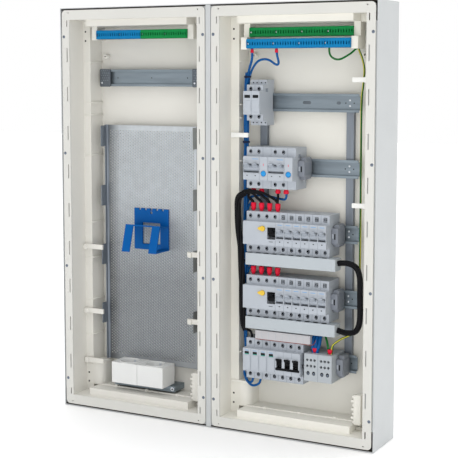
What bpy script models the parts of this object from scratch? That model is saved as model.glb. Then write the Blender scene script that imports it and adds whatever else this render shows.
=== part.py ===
"""Two-field surface-mounted distribution board, shown open and without doors.

Metres, +Z up. The rear face lies on the wall plane Y = 0 with its centre at the origin, the front
looks along -Y and +X is to the viewer's right. The left field holds a perforated mounting plate
and two sockets, the right field holds five rows of rail-mounted devices.
"""
import math

import bmesh
import bpy
import numpy as np
from mathutils import Matrix, Vector

for old in list(bpy.data.objects):
    bpy.data.objects.remove(old, do_unlink=True)

# Standing gap between two pieces that touch
GAP = 0.0003
# Overlap of two shapes that are joined into one solid, and of a cutter past a face
BITE = 0.001

# Sheet-steel housing, whose size the whole board follows
HOUSING_W = 0.695
HOUSING_H = 0.832
HOUSING_D = 0.109
HOUSING_MARGIN = 0.0045
SHEET = 0.0015
LIP_STOP = 0.0385
WALL_HOLE_R = 0.004
WALL_HOLE_IN = 0.0475
WALL_HOLE_DOWN = 0.066

# Two plastic tubs, one for each field
TUB_WALL = 0.0025
TUB_FIT = 0.0005
TUB_FLOOR = 0.016
FLANGE_SIDE = 0.0175
FLANGE_END = 0.0195
FLANGE_T = 0.003
FIELD_GAP = 0.014
FLANGE_R = 0.008
LEDGE_DEPTH = 0.050
LEDGE_SIDE = 0.0175
LEDGE_TOP = 0.014
LEDGE_BOTTOM = 0.005
SLOT_W = 0.0025
SLOT_L = 0.029
SLOT_PITCH = 0.080
SLOT_COUNT = 9
SLOT_INSET = 0.0055
END_SLOT_L = 0.013
END_SLOT_INSET = 0.027
CORNER_HOLE_R = 0.0015
CORNER_HOLE_OUT = 0.0018
CORNER_HOLE_INSET = 0.0055
POST_RIDGE_W = 0.0107
INSERT_MARGIN = 0.0315
INSERT_SHY = 0.015
INSERT_TOP_H = 0.0133
INSERT_BOTTOM_H = 0.0147

# Cable fingers on the ledge of the left tub
FINGER_L = 0.047
FINGER_H = 0.010
FINGER_T = 0.004
FINGER_FOOT = 0.005
FINGER_OVERHANG = 0.0025
FINGERS_LEFT_UP = (0.311, 0.174, 0.067)
FINGERS_RIGHT_UP = (0.311, 0.174)

# Terminal strips and their end carriers
STRIP_SHY = 0.0005
STRIP_H = 0.018
STRIP_D = 0.022
STRIP_GROOVE_W = 0.0015
STRIP_GROOVE_D = 0.004
STRIP_BLOCKS = 4
LEFT_STRIP_FRONT = 0.074
EARTH_FRONT = 0.066
NEUTRAL_FRONT = 0.079
EARTH_DROP = 0.0163
STRIP_PITCH = 0.0221
CARRIER_W = 0.013
CARRIER_SHY = 0.004
CARRIER_DROP = 0.002
CARRIER_BACK = 0.040

# Top-hat rails and the uprights behind them, with the share of a field above and below the rows
ROW_COUNT = 5
HEAD_SHARE = 0.1976
FOOT_SHARE = 0.1488
RAIL_SIDE = 0.025
RAIL_W = 0.035
RAIL_D = 0.0075
RAIL_T = 0.001
RAIL_BRIM = 0.004
UPRIGHT_W = 0.015
UPRIGHT_D = 0.0104
UPRIGHT_T = 0.0015
UPRIGHT_IN = 0.01675
UPRIGHT_SHIFT = -0.004
UPRIGHT_OVER = 0.012

# Left field: rail on two bosses, mounting plate on posts, holder and sockets
LEFT_RAIL_DROP = 0.1046
LEFT_RAIL_FIT = 0.008
BOSS_W = 0.020
BOSS_H = 0.022
PLATE_FIT = 0.022
PLATE_DROP = 0.2025
PLATE_RISE = 0.063
PLATE_T = 0.0015
PLATE_FRONT = 0.035
PLATE_REACH = 0.006
PLATE_LUG_REACH = 0.0215
PLATE_LUG_H = 0.0435
PLATE_LUG_IN = 0.0015
PLATE_LUG_COUNT = 4
PLATE_POST_W = 0.014
PLATE_POST_IN = 0.018
PLATE_POST_LEVELS = 3
HOLDER_X = 0.0009
HOLDER_W = 0.0826
HOLDER_H = 0.086
HOLDER_DROP = 0.1719
HOLDER_T = 0.003
HOLDER_REACH = 0.050
HOLDER_SHELF_DROP = 0.0306
HOLDER_SHELF_RISE = 0.0055
TONGUE_W = 0.0185
TONGUE_SLANT = 0.016
TONGUE_L = 0.055
HOLDER_WINDOW_W = 0.043
HOLDER_WINDOW_H = 0.0445
HOLDER_WINDOW_DROP = 0.0519
HOLDER_HOLE_R = 0.003
HOLDER_HOLE_DROP = 0.0085
TOOTH_W = 0.005
TOOTH_D = 0.004
TOOTH_COUNT = 5
SOCKET_W = 0.0617
SOCKET_H = 0.0435
SOCKET_D = 0.0497
SOCKET_FRONT = 0.085
SOCKET_RISE = 0.070
SOCKET_X = -0.0694
SOCKET_WELL_R = 0.0195
SOCKET_WELL_D = 0.012
SOCKET_RAIL_OVER = 0.012
SOCKET_RAIL_H = 0.012
SOCKET_RAIL_D = 0.040

# Rail-mounted devices
MODULE = 0.0175
DEVICE_MARGIN = 0.027
DEVICE_H = 0.080
NOSE_H = 0.045
NOSE_D = 0.060
SHOULDER_D = 0.044
LEG_D = 0.005
HOOK = 0.002
TERMINAL_R = 0.0028
TERMINAL_DEEP = 0.008
WINDOW_DEEP = 0.001
CONTACTOR_MODULES = 2
CONTACTOR_H = 0.088
CONTACTOR_SHOULDER_H = 0.069
CONTACTOR_REAR_D = 0.028
CONTACTOR_TERMINAL_Z = 0.0266
CONTACTOR_WINDOW_W = 0.0125
CONTACTOR_WINDOW_H = 0.0060
CONTACTOR_WINDOW_Z = 0.0123
RCBO_MODULES = 3
RCD_MODULES = 4
BANK_MODULES = 6
ARRESTER_MODULES = 4
ARRESTER_WINDOW_W = 0.0075
ARRESTER_WINDOW_H = 0.0045
ARRESTER_WINDOW_Z = 0.0142
SWITCH_MODULES = 3
FEED_SPACE = 0.007
FEED_BLOCK_W = 0.0285
FEED_BLOCKS = 2
FEED_TOP = 0.025
FEED_BOTTOM = 0.028
FEED_D = 0.056
FEED_HOLE_R = 0.0017
FEED_HOLE_PITCH = 0.0075
FEED_HOLE_ROWS_Z = (0.013, 0.0015)
FEED_HOLES = 3

# Toggles and their pockets
DRUM_W = 0.0150
DRUM_R = 0.0062
PIVOT_IN = 0.0062
POCKET_H = 0.0175
RUN_GAP = 0.0006
LEVER_R = 0.0165
LEVER_TIP_W = 0.0085
LEVER_BASE_W = 0.0140
LEVER_TIP_T = 0.0030
LEVER_BASE_T = 0.0050
LEVER_TILT = math.radians(35.0)

# Test buttons
BUTTON_R = 0.0055
BUTTON_Z = -0.0096
BUTTON_OUT = 0.0025
BUTTON_BACK = 0.005
BUTTON_TRAVEL = 0.002
ARROW_R = 0.0052
ARROW_TIP = 0.0098
ARROW_X = 0.0425
ARROW_Z = 0.0095

# Busbar covers and comb busbar
COVER_X = 0.0028
COVER_SHY = 0.0274
COVER_H = 0.0235
COVER_D = 0.028
COVER_FRONT = 0.055
COMB_X = 0.023
COMB_L = 0.1165
COMB_CLEAR = 0.0029
COMB_D = 0.010
COMB_FRONT = 0.052

# Wires that are held along their whole route
TRUNK_R = 0.0045
BUNDLE_R = 0.003
LOOP_R = 0.006
EARTH_R = 0.0016
WIRE_LEAD = 0.008
ROUTE_STEPS = 3.0

# Planes worked out from the sizes above, as Y values
FRONT_Y = -HOUSING_D
FLANGE_BACK_Y = FRONT_Y + FLANGE_T
LIP_Y = FLANGE_BACK_Y + GAP
LEDGE_Y = FRONT_Y + LEDGE_DEPTH
FLOOR_Y = -TUB_FLOOR
UPRIGHT_Y = FLOOR_Y - GAP - UPRIGHT_D
RAIL_BACK_Y = UPRIGHT_Y - GAP
BRIM_Y = RAIL_BACK_Y - RAIL_D
NOSE_Y = BRIM_Y - NOSE_D
SHOULDER_Y = BRIM_Y - SHOULDER_D
TERMINAL_Z = (NOSE_H + DEVICE_H) / 4

# Widths and X places, from the housing inwards
FLANGE_W = (HOUSING_W - FIELD_GAP) / 2 - HOUSING_MARGIN
FIELD_PITCH = FLANGE_W + FIELD_GAP
OPENING_W = FLANGE_W - 2 * FLANGE_SIDE
TUB_HALF_W = OPENING_W / 2 + TUB_WALL
REAR_HALF_W = OPENING_W / 2 - LEDGE_SIDE
RAIL_L = 2 * (REAR_HALF_W - RAIL_SIDE)
LEFT_X = -FIELD_PITCH / 2
RIGHT_X = FIELD_PITCH / 2
WALL_HOLE_X = HOUSING_W / 2 - WALL_HOLE_IN
STRIP_L = RAIL_L - 2 * STRIP_SHY
UPRIGHT_SPREAD = RAIL_L - 2 * UPRIGHT_IN
LEFT_RAIL_L = 2 * (REAR_HALF_W - LEFT_RAIL_FIT)
PLATE_W = 2 * (REAR_HALF_W - PLATE_FIT)
COVER_L = RAIL_L - COVER_SHY
DEVICES_X = RIGHT_X - REAR_HALF_W + DEVICE_MARGIN

# Heights and Z places, from the housing inwards
FLANGE_H = HOUSING_H - 2 * HOUSING_MARGIN
OPENING_H = FLANGE_H - 2 * FLANGE_END
REAR_TOP_Z = OPENING_H / 2 - LEDGE_TOP
REAR_BOTTOM_Z = -OPENING_H / 2 + LEDGE_BOTTOM
REAR_H = REAR_TOP_Z - REAR_BOTTOM_Z
ROW_1_Z = REAR_TOP_Z - HEAD_SHARE * REAR_H
ROW_PITCH = (1.0 - HEAD_SHARE - FOOT_SHARE) * REAR_H / (ROW_COUNT - 1)
WALL_HOLE_Z = HOUSING_H / 2 - WALL_HOLE_DOWN
EARTH_Z = REAR_TOP_Z - EARTH_DROP
NEUTRAL_Z = EARTH_Z - STRIP_PITCH
LEFT_RAIL_Z = REAR_TOP_Z - LEFT_RAIL_DROP
PLATE_TOP = REAR_TOP_Z - PLATE_DROP
PLATE_BOTTOM = REAR_BOTTOM_Z + PLATE_RISE
HOLDER_TOP = PLATE_TOP - HOLDER_DROP
SOCKET_TOP = REAR_BOTTOM_Z + SOCKET_RISE
COMB_H = ROW_PITCH - DEVICE_H - COVER_H - 2 * GAP - COMB_CLEAR


def row_z(row):
    """Height of the middle of a rail row, counted from 1 at the top."""
    return ROW_1_Z - (row - 1) * ROW_PITCH


def module_x(start, count):
    """Middle of each module of a device that starts at the given X."""
    return [start + (index + 0.5) * MODULE for index in range(count)]


# Materials
def material(name, colour, roughness=0.5, metallic=0.0):
    """Plain Principled material in linear colour."""
    made = bpy.data.materials.get(name)
    if made is None:
        made = bpy.data.materials.new(name)
        made.use_nodes = True
        shader = made.node_tree.nodes["Principled BSDF"]
        shader.inputs["Base Color"].default_value = (*colour, 1.0)
        shader.inputs["Roughness"].default_value = roughness
        shader.inputs["Metallic"].default_value = metallic
    return made


WHITE_COAT = material("white_powder_coat", (0.78, 0.80, 0.82), 0.45)
CREAM = material("cream_tub_plastic", (0.76, 0.74, 0.68), 0.5)
ZINC = material("zinc_steel", (0.36, 0.40, 0.44), 0.35, 1.0)
GALVANISED = material("galvanised_plate", (0.52, 0.55, 0.57), 0.45, 1.0)
BLUE_STRIP = material("blue_strip_plastic", (0.02, 0.22, 0.56), 0.4)
GREEN_STRIP = material("green_strip_plastic", (0.02, 0.30, 0.08), 0.4)
HOLDER_BLUE = material("holder_blue_plastic", (0.005, 0.10, 0.37), 0.4)
SOCKET_WHITE = material("socket_white_plastic", (0.86, 0.86, 0.86), 0.3)
DEVICE_WHITE = material("device_light_grey_plastic", (0.68, 0.71, 0.75), 0.45)
TOGGLE_GREY = material("toggle_grey_plastic", (0.37, 0.41, 0.46), 0.4)
TOGGLE_BLACK = material("toggle_black_plastic", (0.012, 0.013, 0.016), 0.35)
BUTTON_BLUE = material("button_blue_plastic", (0.05, 0.35, 0.64), 0.3)
BUTTON_YELLOW = material("button_yellow_plastic", (0.58, 0.43, 0.06), 0.35)
FEED_GREY = material("feed_terminal_grey_plastic", (0.60, 0.63, 0.67), 0.45)
COVER_GREY = material("busbar_cover_plastic", (0.68, 0.71, 0.74), 0.4)
WIRE_BLUE = material("blue_wire_sheath", (0.005, 0.10, 0.35), 0.4)
WIRE_BLACK = material("black_wire_sheath", (0.010, 0.010, 0.012), 0.4)
WIRE_EARTH = material("earth_wire_sheath", (0.40, 0.42, 0.04), 0.4)


# Shapes as lists of points and faces
def prism(axis, outline, span):
    """Outline in the two axes that are left, in the order XYZ, carried along the third axis."""
    count = len(outline)
    points = []
    for place in span:
        for pair in outline:
            point = list(pair)
            point.insert("XYZ".index(axis), place)
            points.append(point)
    faces = [tuple(range(count)), tuple(range(count, 2 * count))]
    for index in range(count):
        after = (index + 1) % count
        faces.append((index, after, count + after, count + index))
    return points, faces


def box(x_span, y_span, z_span):
    """Box between three pairs of limits."""
    outline = [(x_span[0], y_span[0]), (x_span[1], y_span[0]),
               (x_span[1], y_span[1]), (x_span[0], y_span[1])]
    return prism("Z", outline, z_span)


def rod(axis, centre, radius, span, sides=12):
    """Faceted cylinder along one axis, with its centre in the two axes that are left."""
    turns = [2.0 * math.pi * (index + 0.5) / sides for index in range(sides)]
    outline = [(centre[0] + radius * math.cos(turn), centre[1] + radius * math.sin(turn))
               for turn in turns]
    return prism(axis, outline, span)


def rounded_outline(half_w, half_h, radius, centre, steps=4):
    """Rectangle with round corners, counted from the lower right corner."""
    outline = []
    corners = ((1, -1, -90), (1, 1, 0), (-1, 1, 90), (-1, -1, 180))
    for side, level, start in corners:
        for step in range(steps + 1):
            turn = math.radians(start + 90.0 * step / steps)
            outline.append((centre[0] + side * (half_w - radius) + radius * math.cos(turn),
                            centre[1] + level * (half_h - radius) + radius * math.sin(turn)))
    return outline


# Objects
def mesh_object(name, shapes):
    """One object from one or more closed shapes, with faces pointing out."""
    points = []
    faces = []
    for shape_points, shape_faces in shapes:
        start = len(points)
        points.extend(shape_points)
        faces.extend(tuple(start + index for index in face) for face in shape_faces)
    mesh = bpy.data.meshes.new(name)
    mesh.from_pydata(points, [], faces)
    work = bmesh.new()
    work.from_mesh(mesh)
    bmesh.ops.recalc_face_normals(work, faces=work.faces)
    work.to_mesh(mesh)
    work.free()
    made = bpy.data.objects.new(name, mesh)
    bpy.context.scene.collection.objects.link(made)
    return made


def combine(target, shapes, operation):
    """Join shapes to an object, or cut them from it."""
    operand = mesh_object("operand", shapes)
    modifier = target.modifiers.new("combine", "BOOLEAN")
    modifier.operation = operation
    modifier.solver = "EXACT"
    modifier.object = operand
    bpy.context.view_layer.update()
    graph = bpy.context.evaluated_depsgraph_get()
    mesh = bpy.data.meshes.new_from_object(target.evaluated_get(graph))
    target.modifiers.clear()
    spare = target.data
    target.data = mesh
    bpy.data.meshes.remove(spare)
    bpy.data.objects.remove(operand, do_unlink=True)


def solid(name, base, surface, add=(), cut=()):
    """Named piece: a base shape, groups of shapes joined to it, then groups cut from it."""
    made = mesh_object(name, [base])
    for group in add:
        combine(made, group, "UNION")
    for group in cut:
        combine(made, group, "DIFFERENCE")
    made.data.materials.clear()
    made.data.materials.append(surface)
    made.data.name = name
    return made


def set_origin(made, point):
    """Put an object's origin on a point without moving its surface."""
    made.data.transform(Matrix.Translation(-Vector(point)))
    made.location = point


# Enclosure
def make_housing():
    """Rear panel and four walls of folded sheet, with side lips that carry the tubs."""
    half_w = HOUSING_W / 2
    half_h = HOUSING_H / 2
    base = box((-half_w, half_w), (FRONT_Y, 0.0), (-half_h, half_h))
    hollow = box((-half_w + SHEET, half_w - SHEET), (FRONT_Y - BITE, -SHEET),
                 (-half_h + SHEET, half_h - SHEET))
    holes = [rod("Y", (side * WALL_HOLE_X, level * WALL_HOLE_Z), WALL_HOLE_R, (-2 * SHEET, BITE))
             for side in (-1, 1) for level in (-1, 1)]
    lip_edge = FIELD_PITCH / 2 + TUB_HALF_W + TUB_FIT
    lip_half = half_h - LIP_STOP
    lips = [box(sorted((side * lip_edge, side * (half_w - SHEET / 2))), (LIP_Y, LIP_Y + SHEET),
                (-lip_half, lip_half)) for side in (-1, 1)]
    made = solid("housing", base, WHITE_COAT, cut=([hollow], holes))
    combine(made, lips, "UNION")
    made.data.materials.clear()
    made.data.materials.append(WHITE_COAT)


def make_centre_post():
    """Hat-shaped sheet post between the fields, which carries the inner edges of both tubs."""
    half_w = FIELD_PITCH / 2 - TUB_HALF_W - TUB_FIT
    ridge = POST_RIDGE_W / 2
    back = -SHEET - GAP
    right_outer = [(ridge, FRONT_Y), (ridge, LIP_Y), (half_w, LIP_Y), (half_w, back)]
    right_inner = [(half_w - SHEET, back), (half_w - SHEET, LIP_Y + SHEET),
                   (ridge - SHEET, LIP_Y + SHEET), (ridge - SHEET, FRONT_Y + SHEET)]
    right = right_outer + right_inner
    left = [(-x, y) for x, y in reversed(right)]
    half_h = HOUSING_H / 2 - SHEET - GAP
    solid("centre_post", prism("Z", right + left, (-half_h, half_h)), WHITE_COAT)


def tub_shell(name, centre, add):
    """Stepped tub with a front flange ring, cable inserts, slots down the sides and corner holes."""
    half_w = OPENING_W / 2
    half_h = OPENING_H / 2
    flange = prism("Y", rounded_outline(FLANGE_W / 2, FLANGE_H / 2, FLANGE_R, (centre, 0.0)),
                   (FRONT_Y, FLANGE_BACK_Y))
    front = box((centre - TUB_HALF_W, centre + TUB_HALF_W),
                (FLANGE_BACK_Y - FLANGE_T / 2, LEDGE_Y + TUB_WALL),
                (-half_h - TUB_WALL, half_h + TUB_WALL))
    rear = box((centre - REAR_HALF_W - TUB_WALL, centre + REAR_HALF_W + TUB_WALL),
               (LEDGE_Y, FLOOR_Y + TUB_WALL), (REAR_BOTTOM_Z - TUB_WALL, REAR_TOP_Z + TUB_WALL))
    front_hollow = box((centre - half_w, centre + half_w), (FRONT_Y - BITE, LEDGE_Y),
                       (-half_h, half_h))
    rear_hollow = box((centre - REAR_HALF_W, centre + REAR_HALF_W), (LEDGE_Y - BITE, FLOOR_Y),
                      (REAR_BOTTOM_Z, REAR_TOP_Z))
    made = solid(name, flange, CREAM, add=([front], [rear]), cut=([front_hollow], [rear_hollow]))
    insert_half = half_w - INSERT_MARGIN
    insert_x = (centre - insert_half, centre + insert_half)
    insert_y = FRONT_Y + INSERT_SHY
    upper = box(insert_x, (insert_y, LEDGE_Y + TUB_WALL / 2),
                (half_h - INSERT_TOP_H, half_h + TUB_WALL / 2))
    lower = box(insert_x, (insert_y, FLOOR_Y + TUB_WALL / 2),
                (-half_h - TUB_WALL / 2, -half_h + INSERT_BOTTOM_H))
    for group in [[upper, lower]] + add:
        combine(made, group, "UNION")
    relief = box((centre - insert_half + TUB_WALL, centre + insert_half - TUB_WALL),
                 (insert_y + TUB_WALL, FLOOR_Y),
                 (-half_h - TUB_WALL - BITE, -half_h + INSERT_BOTTOM_H - TUB_WALL))
    combine(made, [relief], "DIFFERENCE")
    through = (FRONT_Y - BITE, FLANGE_BACK_Y + BITE)
    middle = (SLOT_COUNT - 1) / 2
    slots = [(SLOT_L, (index - middle) * SLOT_PITCH) for index in range(SLOT_COUNT)]
    end = FLANGE_H / 2 - END_SLOT_INSET
    slots += [(END_SLOT_L, -end), (END_SLOT_L, end)]
    cuts = []
    for side in (-1, 1):
        slot_x = centre + side * (half_w + SLOT_INSET)
        for length, level in slots:
            cuts.append(box((slot_x - SLOT_W / 2, slot_x + SLOT_W / 2), through,
                            (level - length / 2, level + length / 2)))
        for level in (-1, 1):
            place = (centre + side * (half_w + CORNER_HOLE_OUT),
                     level * (FLANGE_H / 2 - CORNER_HOLE_INSET))
            cuts.append(rod("Y", place, CORNER_HOLE_R, through, 8))
    combine(made, cuts, "DIFFERENCE")
    made.data.materials.clear()
    made.data.materials.append(CREAM)


def carrier_span(centre, side):
    """X limits of a carrier just past the end of a terminal strip."""
    start = centre + side * (STRIP_L / 2 + GAP)
    return sorted((start, start + side * CARRIER_W))


def make_left_tub():
    """Left tub with strip carriers, rail bosses, plate posts and cable fingers."""
    add = []
    carrier_z = (EARTH_Z - STRIP_H / 2 - CARRIER_DROP, REAR_TOP_Z + TUB_WALL / 2)
    carrier_y = (-LEFT_STRIP_FRONT + CARRIER_SHY, -CARRIER_BACK)
    add.append([box(carrier_span(LEFT_X, side), carrier_y, carrier_z) for side in (-1, 1)])
    boss_y = (RAIL_BACK_Y + GAP, FLOOR_Y + TUB_WALL / 2)
    bosses = []
    for side in (-1, 1):
        boss_x = LEFT_X + side * (LEFT_RAIL_L / 2 - BOSS_W / 2)
        bosses.append(box((boss_x - BOSS_W / 2, boss_x + BOSS_W / 2), boss_y,
                          (LEFT_RAIL_Z - BOSS_H / 2, LEFT_RAIL_Z + BOSS_H / 2)))
    add.append(bosses)
    post_y = (-PLATE_FRONT + PLATE_T + GAP, FLOOR_Y + TUB_WALL / 2)
    posts = []
    for side in (-1, 1):
        post_x = LEFT_X + side * (PLATE_W / 2 - PLATE_POST_IN)
        ends = (PLATE_BOTTOM + PLATE_POST_IN, PLATE_TOP - PLATE_POST_IN)
        for level in np.linspace(*ends, PLATE_POST_LEVELS):
            posts.append(box((post_x - PLATE_POST_W / 2, post_x + PLATE_POST_W / 2), post_y,
                             (level - PLATE_POST_W / 2, level + PLATE_POST_W / 2)))
    add.append(posts)
    feet = []
    arms = []
    for side, heights in ((-1, FINGERS_LEFT_UP), (1, FINGERS_RIGHT_UP)):
        wall = OPENING_W / 2 - BITE
        foot_x = sorted((LEFT_X + side * wall, LEFT_X + side * (REAR_HALF_W + BITE)))
        arm_x = sorted((LEFT_X + side * wall, LEFT_X + side * (wall - FINGER_L)))
        for height in heights:
            level = height - OPENING_H / 2
            finger_z = (level - FINGER_H / 2, level + FINGER_H / 2)
            feet.append(box(foot_x, (LEDGE_Y - FINGER_FOOT, LEDGE_Y + TUB_WALL / 2), finger_z))
            arm_front = LEDGE_Y - FINGER_FOOT - FINGER_OVERHANG
            arms.append(box(arm_x, (arm_front, arm_front + FINGER_T), finger_z))
    add.append(feet)
    add.append(arms)
    tub_shell("left_tub", LEFT_X, add)


def make_right_tub():
    """Right tub with stepped carriers for the earth strip above and the neutral strip below."""
    split = EARTH_Z - STRIP_H / 2 - CARRIER_DROP
    upper = []
    lower = []
    for side in (-1, 1):
        span = carrier_span(RIGHT_X, side)
        upper.append(box(span, (-EARTH_FRONT + CARRIER_SHY, -CARRIER_BACK),
                         (split, REAR_TOP_Z + TUB_WALL / 2)))
        lower.append(box(span, (-NEUTRAL_FRONT + CARRIER_SHY, -CARRIER_BACK),
                         (NEUTRAL_Z - STRIP_H / 2 - CARRIER_DROP, split + BITE)))
    tub_shell("right_tub", RIGHT_X, [upper, lower])


# Terminal strips
def make_strip(name, span, front, level, blocks, surface):
    """Row of terminal blocks with a groove between each two."""
    z_span = (level - STRIP_H / 2, level + STRIP_H / 2)
    base = box(span, (-front, -front + STRIP_D), z_span)
    pitch = (span[1] - span[0]) / blocks
    grooves = []
    for index in range(1, blocks):
        middle = span[0] + index * pitch
        grooves.append(box((middle - STRIP_GROOVE_W / 2, middle + STRIP_GROOVE_W / 2),
                           (-front - BITE, -front + STRIP_GROOVE_D),
                           (z_span[0] - BITE, z_span[1] + BITE)))
    solid(name, base, surface, cut=([grooves] if grooves else []))


def make_strips():
    """Half-length strips on the left, full-length strips on the right."""
    start = LEFT_X - STRIP_L / 2
    end = LEFT_X + STRIP_L / 2
    half = STRIP_BLOCKS // 2
    make_strip("left_neutral_strip", (start, LEFT_X - GAP / 2), LEFT_STRIP_FRONT, EARTH_Z, half,
               BLUE_STRIP)
    make_strip("left_earth_strip", (LEFT_X + GAP / 2, end), LEFT_STRIP_FRONT, EARTH_Z, half,
               GREEN_STRIP)
    span = (RIGHT_X - STRIP_L / 2, RIGHT_X + STRIP_L / 2)
    make_strip("right_earth_strip", span, EARTH_FRONT, EARTH_Z, STRIP_BLOCKS, GREEN_STRIP)
    make_strip("right_neutral_strip", span, NEUTRAL_FRONT, NEUTRAL_Z, STRIP_BLOCKS, BLUE_STRIP)


# Rails and uprights
def make_rail(name, centre, length, level):
    """Top-hat rail with its open side to the front."""
    brim = RAIL_W / 2
    wall = brim - RAIL_BRIM
    inner = wall - RAIL_T
    back = BRIM_Y + RAIL_D
    upper = [(BRIM_Y, inner), (BRIM_Y, brim), (BRIM_Y + RAIL_T, brim), (BRIM_Y + RAIL_T, wall),
             (back, wall)]
    lower = [(y, -z) for y, z in reversed(upper)]
    outline = upper + lower + [(back - RAIL_T, -inner), (back - RAIL_T, inner)]
    outline = [(y, z + level) for y, z in outline]
    solid(name, prism("X", outline, (centre - length / 2, centre + length / 2)), ZINC)


def make_upright(name, centre):
    """Channel that stands on the tub floor and carries the rails."""
    half = UPRIGHT_W / 2
    inner = half - UPRIGHT_T
    back = FLOOR_Y - GAP
    web = UPRIGHT_Y + UPRIGHT_T
    outline = [(-half, UPRIGHT_Y), (half, UPRIGHT_Y), (half, back), (inner, back), (inner, web),
               (-inner, web), (-inner, back), (-half, back)]
    outline = [(x + centre, y) for x, y in outline]
    span = (row_z(ROW_COUNT) - UPRIGHT_OVER, row_z(1) + UPRIGHT_OVER)
    solid(name, prism("Z", outline, span), ZINC)


def make_rail_frame():
    """Two uprights and five rails in the right field."""
    middle = RIGHT_X + UPRIGHT_SHIFT
    make_upright("upright_left", middle - UPRIGHT_SPREAD / 2)
    make_upright("upright_right", middle + UPRIGHT_SPREAD / 2)
    for row in range(1, ROW_COUNT + 1):
        make_rail(f"rail_{row}", RIGHT_X, RAIL_L, row_z(row))


# Left field
def make_mounting_plate():
    """Plate with low side flanges that are folded forward, each with a row of deeper lugs."""
    half = PLATE_W / 2
    inner = half - PLATE_T
    tip = -PLATE_FRONT - PLATE_REACH
    web_back = -PLATE_FRONT + PLATE_T
    outline = [(-half, web_back), (half, web_back), (half, tip), (inner, tip),
               (inner, -PLATE_FRONT), (-inner, -PLATE_FRONT), (-inner, tip), (-half, tip)]
    outline = [(x + LEFT_X, y) for x, y in outline]
    lugs = []
    lug_y = (-PLATE_FRONT - PLATE_LUG_REACH, tip + PLATE_REACH / 2)
    for side in (-1, 1):
        lug_x = sorted((LEFT_X + side * half, LEFT_X + side * inner))
        for number in range(PLATE_LUG_COUNT):
            top = PLATE_TOP - PLATE_LUG_IN - number * ROW_PITCH
            lugs.append(box(lug_x, lug_y, (top - PLATE_LUG_H, top)))
    plate = prism("Z", outline, (PLATE_BOTTOM, PLATE_TOP))
    solid("mounting_plate", plate, GALVANISED, add=[lugs])


def make_device_holder():
    """Holder plate with a toothed top, a window, a shelf that rises forwards and two slanted tongues."""
    centre = LEFT_X + HOLDER_X
    left = centre - HOLDER_W / 2
    right = centre + HOLDER_W / 2
    back = -PLATE_FRONT - GAP
    face = back - HOLDER_T
    front = face - HOLDER_REACH
    shelf = HOLDER_TOP - HOLDER_SHELF_DROP
    plate = box((left, right), (face, back), (HOLDER_TOP - HOLDER_H, HOLDER_TOP))
    brow = front + TONGUE_SLANT
    root = face + HOLDER_T / 2
    ramp = [(brow, shelf - HOLDER_T), (root, shelf - HOLDER_T - HOLDER_SHELF_RISE),
            (root, shelf - HOLDER_SHELF_RISE), (brow, shelf)]
    shelf_plate = prism("X", ramp, (left, right))
    low = shelf - TONGUE_L
    slant = [(front, low), (front + HOLDER_T, low), (brow + HOLDER_T, shelf - HOLDER_T / 2),
             (brow, shelf - HOLDER_T / 2)]
    tongues = [prism("X", slant, (left, left + TONGUE_W)),
               prism("X", slant, (right - TONGUE_W, right))]
    foot = box((right - TONGUE_W, right), (front + HOLDER_T / 2, face + HOLDER_T / 2),
               (low, low + HOLDER_T))
    through = (face - BITE, back + BITE)
    window_low = HOLDER_TOP - HOLDER_WINDOW_DROP - HOLDER_WINDOW_H / 2
    window = box((centre - HOLDER_WINDOW_W / 2, centre + HOLDER_WINDOW_W / 2), through,
                 (window_low, window_low + HOLDER_WINDOW_H))
    hole = rod("Y", (centre, HOLDER_TOP - HOLDER_HOLE_DROP), HOLDER_HOLE_R, through)
    pitch = HOLDER_W / (TOOTH_COUNT + 1)
    teeth = [box((left + index * pitch - TOOTH_W / 2, left + index * pitch + TOOTH_W / 2), through,
                 (HOLDER_TOP - TOOTH_D, HOLDER_TOP + BITE)) for index in range(1, TOOTH_COUNT + 1)]
    solid("device_holder", plate, HOLDER_BLUE, add=([shelf_plate], tongues, [foot]),
          cut=([window, hole], teeth))


def make_sockets():
    """Two socket outlets with round wells on top, on a flat rail piece."""
    bottom = SOCKET_TOP - SOCKET_H
    start = LEFT_X + SOCKET_X
    for index in range(2):
        left = start + index * (SOCKET_W + GAP)
        base = box((left, left + SOCKET_W), (-SOCKET_FRONT, -SOCKET_FRONT + SOCKET_D),
                   (bottom, SOCKET_TOP))
        well = rod("Z", (left + SOCKET_W / 2, -SOCKET_FRONT + SOCKET_D / 2), SOCKET_WELL_R,
                   (SOCKET_TOP - SOCKET_WELL_D, SOCKET_TOP + BITE), 24)
        solid(f"socket_{index + 1}", base, SOCKET_WHITE, cut=([well],))
    end = start + 2 * SOCKET_W + GAP
    solid("socket_rail", box((start - SOCKET_RAIL_OVER, end + SOCKET_RAIL_OVER),
                             (FLOOR_Y - GAP - SOCKET_RAIL_D, FLOOR_Y - GAP),
                             (bottom - GAP - SOCKET_RAIL_H, bottom - GAP)), ZINC)


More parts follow.
